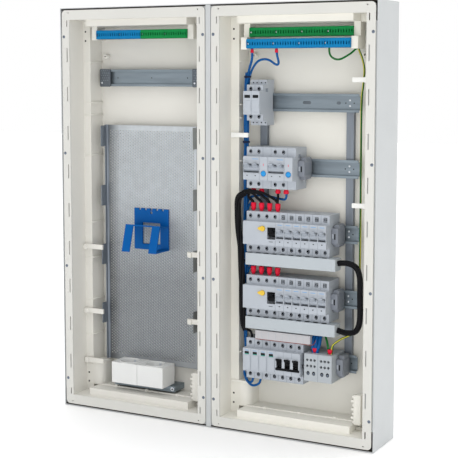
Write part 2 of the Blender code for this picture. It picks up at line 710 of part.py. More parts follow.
# Rail-mounted devices
def device_outline(row, top, bottom, nose_half, nose, shoulder, rear=None):
    """Side view of a device: legs that hook behind the rail, shoulders, a nose and perhaps a rear step."""
    leg = BRIM_Y + LEG_D
    hook = BRIM_Y + RAIL_T + GAP
    face = BRIM_Y - GAP
    notch = RAIL_W / 2 + GAP
    grip = RAIL_W / 2 - HOOK
    front = BRIM_Y - nose
    step = BRIM_Y - shoulder
    outline = [(step, -bottom)]
    if nose > shoulder:
        outline += [(step, -nose_half), (front, -nose_half), (front, nose_half), (step, nose_half)]
    outline += [(step, top)]
    if rear:
        ledge = BRIM_Y - rear[0]
        outline = [(ledge, -bottom), (ledge, -rear[1]), (step, -rear[1])] + outline[1:-1]
        outline += [(step, rear[1]), (ledge, rear[1]), (ledge, top)]
    outline = [(leg, -bottom)] + outline
    outline += [(leg, top), (leg, grip), (hook, grip), (hook, notch), (face, notch),
                (face, -notch), (hook, -notch), (hook, -grip), (leg, -grip)]
    level = row_z(row)
    return [(y, z + level) for y, z in outline]


def terminal_holes(row, places, reach=TERMINAL_Z):
    """Screw holes in the upper and lower shoulder at the given X places."""
    span = (SHOULDER_Y - BITE, SHOULDER_Y + TERMINAL_DEEP)
    return [rod("Y", (x, row_z(row) + side * reach), TERMINAL_R, span, 8)
            for x in places for side in (-1, 1)]


def toggle_pocket(row, middle, width):
    """Opening in the nose for one toggle drum and its swing."""
    half = width / 2 + GAP
    pivot_y = NOSE_Y + PIVOT_IN
    return box((middle - half, middle + half), (NOSE_Y - BITE, pivot_y + DRUM_R + RUN_GAP),
               (row_z(row) - POCKET_H / 2, row_z(row) + POCKET_H / 2))


def make_device(name, row, start, modules, terminals, pockets, surface=DEVICE_WHITE):
    """Device body of a whole number of modules."""
    half = DEVICE_H / 2
    outline = device_outline(row, half, half, NOSE_H / 2, NOSE_D, SHOULDER_D)
    base = prism("X", outline, (start, start + modules * MODULE - GAP))
    groups = [terminal_holes(row, terminals)]
    if pockets:
        groups.append(pockets)
    solid(name, base, surface, cut=groups)


def lever(pivot, middle):
    """Flared paddle from inside the drum to its tip, narrowed along a square law."""
    along = Vector((0.0, -math.cos(LEVER_TILT), math.sin(LEVER_TILT)))
    across = Vector((0.0, math.sin(LEVER_TILT), math.cos(LEVER_TILT)))
    points = []
    stations = np.linspace(DRUM_R / 2, LEVER_R, 6)
    for reach in stations:
        share = (LEVER_R - reach) / (LEVER_R - DRUM_R / 2)
        half_w = (LEVER_TIP_W + (LEVER_BASE_W - LEVER_TIP_W) * share ** 2) / 2
        half_t = (LEVER_TIP_T + (LEVER_BASE_T - LEVER_TIP_T) * share) / 2
        for side, face in ((-1, -1), (1, -1), (1, 1), (-1, 1)):
            place = Vector(pivot) + along * reach + across * half_t * face
            points.append((middle + side * half_w, place.y, place.z))
    last = 4 * (len(stations) - 1)
    faces = [(0, 1, 2, 3), tuple(range(last, last + 4))]
    for ring in range(len(stations) - 1):
        for corner in range(4):
            after = (corner + 1) % 4
            low = 4 * ring
            faces.append((low + corner, low + after, low + 4 + after, low + 4 + corner))
    return points, faces


def make_toggle(name, row, middles, surface):
    """Toggle drum with one paddle for each pole, its origin on the pivot."""
    centre = sum(middles) / len(middles)
    half = (max(middles) - min(middles) + DRUM_W) / 2
    pivot = (centre, NOSE_Y + PIVOT_IN, row_z(row))
    drum = rod("X", (pivot[1], pivot[2]), DRUM_R, (centre - half, centre + half), 16)
    made = solid(name, drum, surface, add=([lever(pivot, middle) for middle in middles],))
    set_origin(made, pivot)


def sunk_windows(places, level, width, height):
    """Shallow window recesses in the nose at the given X places."""
    return [box((x - width / 2, x + width / 2), (NOSE_Y - BITE, NOSE_Y + WINDOW_DEEP),
                (level - height / 2, level + height / 2)) for x in places]


def make_contactor():
    """Two-module contactor with a step behind its shoulders and two sunk windows."""
    start = DEVICES_X
    middles = module_x(start, CONTACTOR_MODULES)
    windows = sunk_windows(middles, row_z(1) + CONTACTOR_WINDOW_Z, CONTACTOR_WINDOW_W, CONTACTOR_WINDOW_H)
    half = CONTACTOR_H / 2
    outline = device_outline(1, half, half, NOSE_H / 2, NOSE_D, SHOULDER_D,
                             (CONTACTOR_REAR_D, CONTACTOR_SHOULDER_H / 2))
    base = prism("X", outline, (start, start + CONTACTOR_MODULES * MODULE - GAP))
    solid("contactor", base, DEVICE_WHITE, cut=(terminal_holes(1, middles, CONTACTOR_TERMINAL_Z), windows))


def make_rcbo(index):
    """Two-pole breaker with earth-leakage trip: linked toggle and round test button."""
    start = DEVICES_X + (index - 1) * RCBO_MODULES * MODULE
    middles = module_x(start, RCBO_MODULES)
    poles = middles[:2]
    toggle_x = sum(poles) / 2
    width = poles[1] - poles[0] + DRUM_W
    button = (middles[2], row_z(2) + BUTTON_Z)
    well_end = NOSE_Y + BUTTON_BACK + BUTTON_TRAVEL + GAP
    pockets = [toggle_pocket(2, toggle_x, width),
               rod("Y", button, BUTTON_R + GAP, (NOSE_Y - BITE, well_end), 16)]
    name = f"rcbo_{index}"
    make_device(name, 2, start, RCBO_MODULES, poles, pockets)
    make_toggle(f"{name}_toggle", 2, poles, TOGGLE_GREY)
    shape = rod("Y", button, BUTTON_R, (NOSE_Y - BUTTON_OUT, NOSE_Y + BUTTON_BACK), 16)
    made = solid(f"{name}_test_button", shape, BUTTON_BLUE)
    set_origin(made, (button[0], NOSE_Y, button[1]))


def arrow_outline(centre, margin):
    """Button outline: half a circle on the right that tapers to a blunt point on the left."""
    radius = ARROW_R + margin
    outline = []
    for step in range(9):
        turn = math.radians(-100.0 + 25.0 * step)
        outline.append((centre[0] + radius * math.cos(turn), centre[1] + radius * math.sin(turn)))
    tip = centre[0] - ARROW_TIP - margin
    outline.append((tip, centre[1] + radius / 4))
    outline.append((tip, centre[1] - radius / 4))
    return outline


def make_rcd(row):
    """Four-pole earth-leakage switch with an arrow test button and a black toggle."""
    start = DEVICES_X
    middles = module_x(start, RCD_MODULES)
    button = (start + ARROW_X, row_z(row) + ARROW_Z)
    well_end = NOSE_Y + BUTTON_BACK + BUTTON_TRAVEL + GAP
    pockets = [toggle_pocket(row, middles[-1], DRUM_W),
               prism("Y", arrow_outline(button, GAP), (NOSE_Y - BITE, well_end))]
    name = f"rcd_{row}"
    make_device(name, row, start, RCD_MODULES, middles, pockets)
    make_toggle(f"{name}_toggle", row, middles[-1:], TOGGLE_BLACK)
    shape = prism("Y", arrow_outline(button, 0.0), (NOSE_Y - BUTTON_OUT, NOSE_Y + BUTTON_BACK))
    made = solid(f"{name}_test_button", shape, BUTTON_YELLOW)
    set_origin(made, (button[0], NOSE_Y, button[1]))


def make_mcb_bank(row):
    """Six single-pole breakers side by side in one body, each with its own toggle."""
    start = DEVICES_X + RCD_MODULES * MODULE
    middles = module_x(start, BANK_MODULES)
    pockets = [toggle_pocket(row, x, DRUM_W) for x in middles]
    make_device(f"mcb_bank_{row}", row, start, BANK_MODULES, middles, pockets)
    for index, x in enumerate(middles, 1):
        make_toggle(f"mcb_toggle_{row}_{index}", row, [x], TOGGLE_GREY)


def make_bottom_row():
    """Surge arrester, three-pole main switch and two feed terminal blocks."""
    row = ROW_COUNT
    start = DEVICES_X
    middles = module_x(start, ARRESTER_MODULES)
    windows = sunk_windows(middles, row_z(row) + ARRESTER_WINDOW_Z, ARRESTER_WINDOW_W, ARRESTER_WINDOW_H)
    make_device("surge_arrester", row, start, ARRESTER_MODULES, middles, windows)
    start += ARRESTER_MODULES * MODULE
    middles = module_x(start, SWITCH_MODULES)
    width = middles[-1] - middles[0] + DRUM_W
    pocket = toggle_pocket(row, sum(middles) / SWITCH_MODULES, width)
    make_device("main_switch", row, start, SWITCH_MODULES, middles, [pocket])
    make_toggle("main_switch_toggle", row, middles, TOGGLE_BLACK)
    start += SWITCH_MODULES * MODULE + FEED_SPACE
    outline = device_outline(row, FEED_TOP, FEED_BOTTOM, FEED_TOP, FEED_D, FEED_D)
    base = prism("X", outline, (start, start + FEED_BLOCKS * FEED_BLOCK_W))
    front = BRIM_Y - FEED_D
    holes = []
    for block in range(FEED_BLOCKS):
        middle = start + (block + 0.5) * FEED_BLOCK_W
        for index in range(FEED_HOLES):
            x = middle + (index - (FEED_HOLES - 1) / 2) * FEED_HOLE_PITCH
            holes += [rod("Y", (x, row_z(row) + z), FEED_HOLE_R,
                          (front - BITE, front + TERMINAL_DEEP), 8) for z in FEED_HOLE_ROWS_Z]
    solid("feed_terminals", base, FEED_GREY, cut=([holes]))


def make_busbars():
    """Covers under rows 3 and 4 and the comb busbar over row 5."""
    left = DEVICES_X + COVER_X
    front = BRIM_Y - COVER_FRONT
    for row in (3, 4):
        top = row_z(row) - DEVICE_H / 2 - GAP
        solid(f"busbar_cover_{row}", box((left, left + COVER_L), (front, front + COVER_D),
                                         (top - COVER_H, top)), COVER_GREY)
    left = DEVICES_X + COMB_X
    front = BRIM_Y - COMB_FRONT
    low = row_z(ROW_COUNT) + DEVICE_H / 2 + GAP
    solid("comb_busbar", box((left, left + COMB_L), (front, front + COMB_D), (low, low + COMB_H)),
          SOCKET_WHITE)


# Wires
def smooth_route(points, spacing):
    """Points read from a Catmull-Rom curve through a route, about one spacing apart."""
    knots = np.array(points)
    before = 2.0 * knots[0] - knots[1]
    after = 2.0 * knots[-1] - knots[-2]
    padded = np.vstack([before, knots, after])
    route = []
    for index in range(len(knots) - 1):
        a, b, c, d = padded[index:index + 4]
        count = max(2, int(np.linalg.norm(c - b) / spacing))
        for t in np.linspace(0.0, 1.0, count, endpoint=False):
            route.append(0.5 * (2 * b + (c - a) * t + (2 * a - 5 * b + 4 * c - d) * t ** 2
                                + (3 * b - a - 3 * c + d) * t ** 3))
    route.append(knots[-1])
    return route


def make_wire(name, points, radius, surface):
    """Round wire along a smooth route, with filled ends."""
    curve = bpy.data.curves.new(name, "CURVE")
    curve.dimensions = "3D"
    curve.bevel_depth = radius
    curve.bevel_resolution = 2
    curve.use_fill_caps = True
    route = smooth_route(points, ROUTE_STEPS * 2 * radius)
    spline = curve.splines.new("POLY")
    spline.points.add(len(route) - 1)
    for point, place in zip(spline.points, route):
        point.co = (*place, 1.0)
    curve.materials.append(surface)
    made = bpy.data.objects.new(name, curve)
    bpy.context.scene.collection.objects.link(made)


def make_wires():
    """Neutral trunk, line bundle, loop between the busbar covers and two earth wires."""
    wall_left = RIGHT_X - REAR_HALF_W
    wall_right = RIGHT_X + REAR_HALF_W
    strip_start = RIGHT_X - STRIP_L / 2
    strip_end = RIGHT_X + STRIP_L / 2
    neutral_low = NEUTRAL_Z - STRIP_H / 2 - GAP
    arrester_low = row_z(5) - DEVICE_H / 2 - GAP
    arrester_top = row_z(5) + DEVICE_H / 2 + GAP
    clamp = strip_start + 0.0088
    run = wall_left + 0.013
    entry = DEVICES_X + MODULE / 2
    make_wire("blue_trunk", [
        (clamp, -0.068, neutral_low), (clamp, -0.068, neutral_low - WIRE_LEAD),
        (clamp - 0.001, -0.067, neutral_low - 0.0163), (run + 0.008, -0.061, neutral_low - 0.0403),
        (run + 0.0025, -0.056, neutral_low - 0.0803), (run + 0.0005, -0.054, row_z(2) + 0.0482),
        (run, -0.054, row_z(3) + 0.0232), (run, -0.054, row_z(4) - 0.0018),
        (run, -0.055, row_z(5) + 0.0032), (run + 0.0015, -0.057, arrester_low - 0.0025),
        (run + 0.009, -0.061, arrester_low - 0.021), (entry - 0.0035, -0.065, arrester_low - 0.0205),
        (entry, -0.066, arrester_low - WIRE_LEAD), (entry, -0.066, arrester_low),
    ], TRUNK_R, WIRE_BLUE)
    switch_top = row_z(3) + DEVICE_H / 2 + GAP
    pole = DEVICES_X + 1.5 * MODULE
    aisle = ROW_PITCH - DEVICE_H
    slit = aisle - COVER_H - 2 * GAP
    run = wall_left + 0.010
    make_wire("black_bundle", [
        (pole, -0.066, switch_top), (pole, -0.066, switch_top + WIRE_LEAD),
        (pole - 0.0007, -0.068, switch_top + 0.42 * aisle),
        (pole - 0.0122, -0.074, switch_top + 0.73 * aisle),
        (pole - 0.0302, -0.080, switch_top + 0.82 * aisle), (run + 0.0025, -0.084, switch_top + 0.0209),
        (run + 0.0020, -0.084, switch_top - 0.0171), (run + 0.0055, -0.081, row_z(4) + 0.0682),
        (run + 0.0077, -0.079, row_z(4) - 0.0018), (run + 0.0080, -0.078, arrester_top + 0.0379),
        (run + 0.0095, -0.0765, arrester_top + 0.85 * slit),
        (run + 0.0140, -0.074, arrester_top + 0.66 * slit),
        (entry - 0.0023, -0.0725, arrester_top + 0.50 * slit),
        (entry, -0.0720, arrester_top + 0.20 * slit), (entry, -0.0720, arrester_top),
    ], BUNDLE_R, WIRE_BLACK)
    cover_end = DEVICES_X + COVER_X + COVER_L + GAP
    cover_y = BRIM_Y - COVER_FRONT + COVER_D / 2
    upper = row_z(3) - DEVICE_H / 2 - GAP - COVER_H / 2
    lower = row_z(4) - DEVICE_H / 2 - GAP - COVER_H / 2
    run = wall_right - 0.0075
    bend = cover_end + 0.0163
    make_wire("black_loop", [
        (cover_end, cover_y, upper), (bend, cover_y, upper), (run - 0.0075, -0.0745, upper - 0.0068),
        (run - 0.0005, -0.0730, upper - 0.0268), (run, -0.0730, (upper + lower) / 2),
        (run - 0.0005, -0.0730, lower + 0.0252), (run - 0.0075, -0.0745, lower + 0.0062),
        (bend, cover_y, lower), (cover_end, cover_y, lower),
    ], LOOP_R, WIRE_BLACK)
    earth_low = EARTH_Z - STRIP_H / 2 - GAP
    feed_top = row_z(5) + FEED_TOP + GAP
    clamp = strip_end - 0.0058
    run = wall_right - 0.0130
    entry = DEVICES_X + (ARRESTER_MODULES + SWITCH_MODULES) * MODULE + FEED_SPACE + 0.0505
    make_wire("earth_wire", [
        (clamp, -0.050, earth_low), (clamp + 0.0005, -0.050, earth_low - 0.0174),
        (run - 0.0095, -0.052, earth_low - 0.0524), (run - 0.0015, -0.052, earth_low - 0.1024),
        (run, -0.052, row_z(2) - 0.0018), (run, -0.052, row_z(3) - 0.0268),
        (run - 0.0015, -0.052, row_z(4) - 0.0218), (run - 0.0115, -0.056, feed_top + 0.0429),
        (entry + 0.014, -0.066, feed_top + 0.0284), (entry + 0.002, -0.073, feed_top + 0.0179),
        (entry, -0.075, feed_top + WIRE_LEAD), (entry, -0.075, feed_top),
    ], EARTH_R, WIRE_EARTH)
    carrier_low = NEUTRAL_Z - STRIP_H / 2 - CARRIER_DROP - GAP
    carrier = strip_end + GAP + CARRIER_W / 2
    clamp = strip_end - 0.0463
    make_wire("earth_link", [
        (clamp, -0.068, neutral_low), (clamp, -0.068, neutral_low - WIRE_LEAD),
        (clamp + 0.005, -0.068, neutral_low - 0.0143), (clamp + 0.0165, -0.067, neutral_low - 0.0198),
        (clamp + 0.0325, -0.066, neutral_low - 0.0193), (carrier - 0.0055, -0.063, neutral_low - 0.0153),
        (carrier, -0.062, carrier_low - WIRE_LEAD / 2), (carrier, -0.062, carrier_low),
    ], EARTH_R, WIRE_EARTH)


make_housing()
make_centre_post()
make_left_tub()
make_right_tub()
make_strips()
make_rail("left_rail", LEFT_X, LEFT_RAIL_L, LEFT_RAIL_Z)
make_mounting_plate()
make_device_holder()
make_sockets()
make_rail_frame()
make_contactor()
for number in (1, 2):
    make_rcbo(number)
for number in (3, 4):
    make_rcd(number)
    make_mcb_bank(number)
make_bottom_row()
make_busbars()
make_wires()
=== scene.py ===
# %% [markdown]
# This lesson dresses an open two-field distribution board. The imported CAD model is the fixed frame:
# it already holds the housing, the tubs, the rails, the devices and the toggles in their true places,
# in metres. Everything below is added round it, and nothing in it is moved.

# %% Load the frame
import math
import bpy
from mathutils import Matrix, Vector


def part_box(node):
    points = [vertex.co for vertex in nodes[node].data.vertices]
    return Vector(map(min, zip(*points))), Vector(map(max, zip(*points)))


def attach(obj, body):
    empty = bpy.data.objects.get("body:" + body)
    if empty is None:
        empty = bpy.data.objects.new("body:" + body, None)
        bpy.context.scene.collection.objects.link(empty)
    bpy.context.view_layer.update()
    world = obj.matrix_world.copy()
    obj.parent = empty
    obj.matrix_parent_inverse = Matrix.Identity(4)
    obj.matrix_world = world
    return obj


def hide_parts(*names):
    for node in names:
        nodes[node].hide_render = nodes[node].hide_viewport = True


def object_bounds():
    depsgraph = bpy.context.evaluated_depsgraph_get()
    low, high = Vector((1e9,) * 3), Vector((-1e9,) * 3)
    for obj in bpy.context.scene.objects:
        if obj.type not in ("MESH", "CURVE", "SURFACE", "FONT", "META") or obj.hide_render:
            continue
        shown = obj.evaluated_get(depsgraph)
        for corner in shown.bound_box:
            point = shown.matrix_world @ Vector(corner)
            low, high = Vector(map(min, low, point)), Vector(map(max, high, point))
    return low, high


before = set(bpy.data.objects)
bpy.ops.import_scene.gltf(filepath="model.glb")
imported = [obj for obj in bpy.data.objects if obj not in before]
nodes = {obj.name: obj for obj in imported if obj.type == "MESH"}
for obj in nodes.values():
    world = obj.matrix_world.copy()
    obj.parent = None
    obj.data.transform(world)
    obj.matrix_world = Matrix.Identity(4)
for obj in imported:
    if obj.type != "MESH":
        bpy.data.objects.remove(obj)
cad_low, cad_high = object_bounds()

from fnmatch import fnmatch

import bmesh
import bpy
import numpy as np

scene = bpy.context.scene
print("CAD nodes", len(nodes), "box", [round(v, 4) for v in (*cad_low, *cad_high)])

# %% [markdown]
# The camera comes first. The photograph shows the board from its right, a little above the middle, with
# a long lens. The numbers come from matching the housing's corners to the picture. A small downward
# shift of the lens keeps the uprights nearly parallel, as a studio camera does.

# %% Camera
PITCH_DOWN = 5.354
TURN_LEFT = 27.984
camera_data = bpy.data.cameras.new("camera")
camera_data.lens = 92.796
camera_data.sensor_width = 36.0
camera_data.shift_y = -0.10
camera = bpy.data.objects.new("camera", camera_data)
camera.location = (1.1092, -2.1096, 0.28445)
camera.rotation_euler = (math.radians(90.0 - PITCH_DOWN), 0.0, math.radians(TURN_LEFT))
scene.collection.objects.link(camera)
scene.camera = camera
scene.view_settings.view_transform = "Standard"
print("camera", tuple(round(v, 3) for v in camera.location))

# %% [markdown]
# Every new piece below is one or more grids of points. A grid is an array of rows and columns, and a
# face joins each four neighbours. A closed shape repeats its first column at the end and shrinks its
# last rows to a point, and then the doubles are merged, so that seams and poles are shut. The object
# stays at the origin with its place in the mesh, as the CAD nodes have it.

# %% Grid helpers
MERGE_DISTANCE = 2e-6
SHARP_ANGLE = math.radians(38.0)


def grid_faces(rows, columns):
    """Corner numbers of a grid's faces: each joins a point to its right, lower right and lower one."""
    row, column = np.meshgrid(np.arange(rows - 1), np.arange(columns - 1), indexing="ij")
    first = row * columns + column
    return np.stack([first, first + 1, first + columns + 1, first + columns], -1).reshape(-1, 4)


def put_piece(name, grids, surface, body="board", replaces=()):
    """Object from grids of shape (rows, columns, 3) or (copies, rows, columns, 3), riding on a body."""
    points, faces, maps = [], [], []
    start = 0
    for grid in grids:
        stack = np.asarray(grid, float).reshape(-1, *grid.shape[-3:])
        number, rows, columns = stack.shape[:3]
        shift = start + np.arange(number)[:, None, None] * rows * columns
        faces.append((grid_faces(rows, columns)[None] + shift).reshape(-1, 4))
        across, along = np.meshgrid(np.linspace(0, 1, columns), np.linspace(0, 1, rows))
        maps.append(np.tile(np.stack([across, along], -1).reshape(-1, 2), (number, 1)))
        points.append(stack.reshape(-1, 3))
        start += number * rows * columns
    mesh = bpy.data.meshes.new(name)
    corners = np.concatenate(faces)
    mesh.from_pydata(np.concatenate(points).tolist(), [], corners.tolist())
    layer = mesh.uv_layers.new(name="surface")
    layer.data.foreach_set("uv", np.concatenate(maps)[corners.ravel()].ravel())
    work = bmesh.new()
    work.from_mesh(mesh)
    bmesh.ops.remove_doubles(work, verts=work.verts, dist=MERGE_DISTANCE)
    bmesh.ops.recalc_face_normals(work, faces=work.faces)
    work.to_mesh(mesh)
    work.free()
    mesh.polygons.foreach_set("use_smooth", np.ones(len(mesh.polygons), bool))
    mesh.set_sharp_from_angle(angle=SHARP_ANGLE)
    mesh.materials.append(surface)
    made = bpy.data.objects.new(name, mesh)
    scene.collection.objects.link(made)
    if body:
        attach(made, body)
    if replaces:
        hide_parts(*replaces)
    return made


def copies(grid, places):
    """The same grid moved to each place, as one array of copies."""
    return np.asarray(grid)[None] + np.asarray(places, float)[:, None, None, :]


AXES = {"X": (1, 2, 0), "Y": (0, 2, 1), "Z": (0, 1, 2)}


def lay(first, second, along, axis):
    """Stacks two cross coordinates and one coordinate along an axis into X, Y, Z order."""
    made = np.empty(np.broadcast(first, second, along).shape + (3,))
    for place, value in zip(AXES[axis], (first, second, along)):
        made[..., place] = value
    return made


def lathe(profile, centre, axis="Y", steps=16):
    """Each profile row, a radius and a height, turned a full circle about an axis through the centre."""
    radius, height = np.array(profile, float).T
    turn = np.linspace(0, 2 * np.pi, steps + 1)
    grid = lay(radius[:, None] * np.cos(turn), radius[:, None] * np.sin(turn), height[:, None], axis)
    return grid + np.asarray(centre, float)


def turned(profile, places, axis="Y", steps=16):
    """The lathe shape of a profile, copied to each place."""
    return copies(lathe(profile, (0, 0, 0), axis, steps), places)


print("grid helpers ready")

# %% [markdown]
# A few shapes make most of the small pieces. A block is a rounded rectangle carried along an axis, as a
# moulding or a cut sheet is, and a panel is the same block given by its middle, as it sits on a device's
# face. A tube is a circle carried along a path: that is a wire. A strip is a thin sheet bent along a path.

# %% Block, strip and tube helpers
MOST = 0.98


def block(low, high, corner=0.001, edge=0.0005, axis="Y", steps=3):
    """Rounded rectangle carried along an axis, its half sizes drawn in by a quarter circle at both ends."""
    low, high = np.array(low, float), np.array(high, float)
    one, two, along = AXES[axis]
    middle, half = (low + high) / 2, (high - low) / 2
    corner = min(corner, MOST * half[one], MOST * half[two])
    edge = min(edge, MOST * half[along], corner if corner > 0 else edge)
    bend = np.linspace(0, np.pi / 2, steps + 1)
    arc = np.concatenate([bend + quarter * np.pi / 2 for quarter in range(4)])
    side_one = np.repeat([1, -1, -1, 1], steps + 1)
    side_two = np.repeat([1, 1, -1, -1], steps + 1)
    rim_one = side_one * (half[one] - corner) + corner * np.cos(arc)
    rim_two = side_two * (half[two] - corner) + corner * np.sin(arc)
    rims = [np.append(rim, rim[0]) for rim in (rim_one, rim_two)]
    drawn_in = np.concatenate([[1.0], 1 - np.sin(bend), 1 - np.cos(bend), [1.0]])[:, None] * edge
    level = np.concatenate([[-half[along]], -half[along] + edge * (1 - np.cos(bend)),
                            half[along] - edge * (1 - np.sin(bend)), [half[along]]])[:, None]
    keep = np.ones(level.shape)
    keep[[0, -1]] = 0.0
    ways = [(rim - np.sign(rim) * np.minimum(np.abs(rim), drawn_in)) * keep for rim in rims]
    return lay(*ways, level, axis) + middle


def panel(x, z, wide, high, front, back, corner, edge):
    """Block that faces the front: its middle, width and height, the depths of its two faces, its rounding."""
    return block((x - wide / 2, front, z - high / 2), (x + wide / 2, back, z + high / 2), corner, edge)


def strip(path, thickness, axis, span):
    """Flat strip: a path in the two cross axes, set off by half the thickness both ways, carried along."""
    path = np.array(path, float)
    step = np.gradient(path, axis=0)
    step /= np.linalg.norm(step, axis=1)[:, None]
    off = np.stack([-step[:, 1], step[:, 0]], 1) * thickness / 2
    pair = np.stack([path + off, path - off])
    ring = np.concatenate([pair[0], pair[1][::-1], pair[0][:1]])
    ends = np.array(span, float)
    wall = lay(ring[None, :, 0], ring[None, :, 1], ends[:, None], axis)
    return [wall, *(lay(pair[..., 0], pair[..., 1], end, axis) for end in ends)]


def smooth_path(knots, spacing=0.003):
    """Points on a curve through the knots: each leg is a cubic whose slopes come from the neighbours."""
    knots = np.array(knots, float)
    padded = np.vstack([2 * knots[0] - knots[1], knots, 2 * knots[-1] - knots[-2]])
    legs = []
    for a, b, c, d in zip(padded[:-3], padded[1:-2], padded[2:-1], padded[3:]):
        count = max(3, int(np.linalg.norm(c - b) / spacing))
        t = np.linspace(0, 1, count, endpoint=False)[:, None]
        legs.append(0.5 * (2 * b + (c - a) * t + (2 * a - 5 * b + 4 * c - d) * t ** 2
                           + (3 * b - a - 3 * c + d) * t ** 3))
    return np.concatenate([*legs, knots[-1:]])


def path_frame(path):
    """Two directions across a path, crosses of its run with the depth axis, and the length run so far."""
    run = np.gradient(path, axis=0)
    run /= np.linalg.norm(run, axis=1)[:, None]
    one = np.cross(run, (0.0, 1.0, 0.0))
    one /= np.linalg.norm(one, axis=1)[:, None]
    far = np.concatenate([[0], np.cumsum(np.linalg.norm(np.diff(path, axis=0), axis=1))])
    return one, np.cross(run, one), far


def tube(path, radius, sides=10, twist=0.0):
    """Circle carried along a path, closed at both ends and turned about it by the twist for each metre."""
    path = np.asarray(path, float)
    one, two, far = path_frame(path)
    turn = np.linspace(0, 2 * np.pi, sides + 1)[None, :] + twist * far[:, None]
    ring = one[:, None] * np.cos(turn)[..., None] + two[:, None] * np.sin(turn)[..., None]
    ends = np.broadcast_to(path[[0, -1], None], (2, sides + 1, 3))
    return np.concatenate([ends[:1], path[:, None] + radius * ring, ends[1:]])


print("helpers ready:", "block, panel, strip, tube")

# %% [markdown]
# A finish is more than a colour. Moulded plastic has slow drifts of tone, a fine spark-eroded grain that
# breaks up its gloss, and a little unevenness of sheen. All of it is worked out from Object coordinates,
# so that the pattern has its real size and stays on the piece. Values that don't vary are set straight on
# the shader.

# %% Finish helper
GRAIN_DEPTH = 0.0002
LEAST_ROUGH = 0.05


def linear(red, green, blue):
    """Screen values from 0 to 255 as linear light: a straight foot, then a power of 2.4."""
    share = np.array([red, green, blue]) / 255.0
    return np.where(share <= 0.04045, share / 12.92, ((share + 0.055) / 1.055) ** 2.4)


def add_node(tree, kind, settings=(), **values):
    """New shader node with its settings, and its inputs set by name, an underscore standing for a space."""
    node = tree.nodes.new("ShaderNode" + kind)
    for name, value in dict(settings).items():
        setattr(node, name, value)
    for name, value in values.items():
        node.inputs[name.replace("_", " ")].default_value = value
    return node


def finish(name, colour, rough, metal=0.0, spread=0.05, drift=14.0, stretch=(1, 1, 1), grain=0.12,
           grain_scale=1400.0, rough_spread=0.08, coat=0.0, shine=0.35):
    """Principled surface: slow noise shifts the colour, fine noise shifts roughness and raises a bump."""
    made = bpy.data.materials.new(name)
    made.use_nodes = True
    tree = made.node_tree
    shader = tree.nodes["Principled BSDF"]
    shader.inputs["Metallic"].default_value = metal
    shader.inputs["Coat Weight"].default_value = coat
    shader.inputs["Specular IOR Level"].default_value = shine
    place = add_node(tree, "TexCoord")
    mapping = add_node(tree, "Mapping", Scale=stretch)
    slow = add_node(tree, "TexNoise", Scale=drift, Detail=4.0)
    fine = add_node(tree, "TexNoise", Scale=grain_scale, Detail=2.0)
    ramp = add_node(tree, "ValToRGB")
    sheen = add_node(tree, "MapRange", To_Min=max(LEAST_ROUGH, rough - rough_spread),
                     To_Max=min(1.0, rough + rough_spread))
    bump = add_node(tree, "Bump", Strength=grain, Distance=GRAIN_DEPTH)
    base = linear(*colour)
    for stop, position, share in zip(ramp.color_ramp.elements, (0.3, 0.7), (1 - spread, 1 + spread)):
        stop.position = position
        stop.color = (*np.clip(base * share, 0, 1), 1.0)
    for source, target in ((place.outputs["Object"], mapping.inputs["Vector"]),
                           (mapping.outputs["Vector"], slow.inputs["Vector"]),
                           (mapping.outputs["Vector"], fine.inputs["Vector"]),
                           (slow.outputs["Fac"], ramp.inputs["Fac"]),
                           (ramp.outputs["Color"], shader.inputs["Base Color"]),
                           (fine.outputs["Fac"], sheen.inputs["Value"]),
                           (sheen.outputs["Result"], shader.inputs["Roughness"]),
                           (fine.outputs["Fac"], bump.inputs["Height"]),
                           (bump.outputs["Normal"], shader.inputs["Normal"])):
        tree.links.new(source, target)
    return made


def mix_in(surface, blend="MIX"):
    """Colour mix set between a finish's colour, which feeds its first input, and the shader."""
    tree = surface.node_tree
    colour_in = tree.nodes["Principled BSDF"].inputs["Base Color"]
    mix = add_node(tree, "Mix", {"data_type": "RGBA", "blend_type": blend}, Factor=1.0)
    tree.links.new(colour_in.links[0].from_socket, mix.inputs["A"])
    tree.links.new(mix.outputs["Result"], colour_in)
    return mix


def axis_share(tree, place, axis, start, end, low=0.0, high=1.0):
    """Value that goes from low to high between two places on an axis of a coordinate output."""
    split = add_node(tree, "SeparateXYZ")
    share = add_node(tree, "MapRange", From_Min=start, From_Max=end, To_Min=low, To_Max=high)
    tree.links.new(place, split.inputs["Vector"])
    tree.links.new(split.outputs[axis], share.inputs["Value"])
    return share.outputs["Result"]


def object_place(tree):
    """The Object coordinate that a finish reads."""
    return next(node for node in tree.nodes if node.type == "TEX_COORD").outputs["Object"]


def shade_along(surface, axis, start, end, tone):
    """Painted shade: a finish's colour times a tone rising to one between two places on an Object axis."""
    tree = surface.node_tree
    share = axis_share(tree, object_place(tree), axis, start, end, tone)
    tree.links.new(share, mix_in(surface, "MULTIPLY").inputs["B"])


print("finish helpers ready")
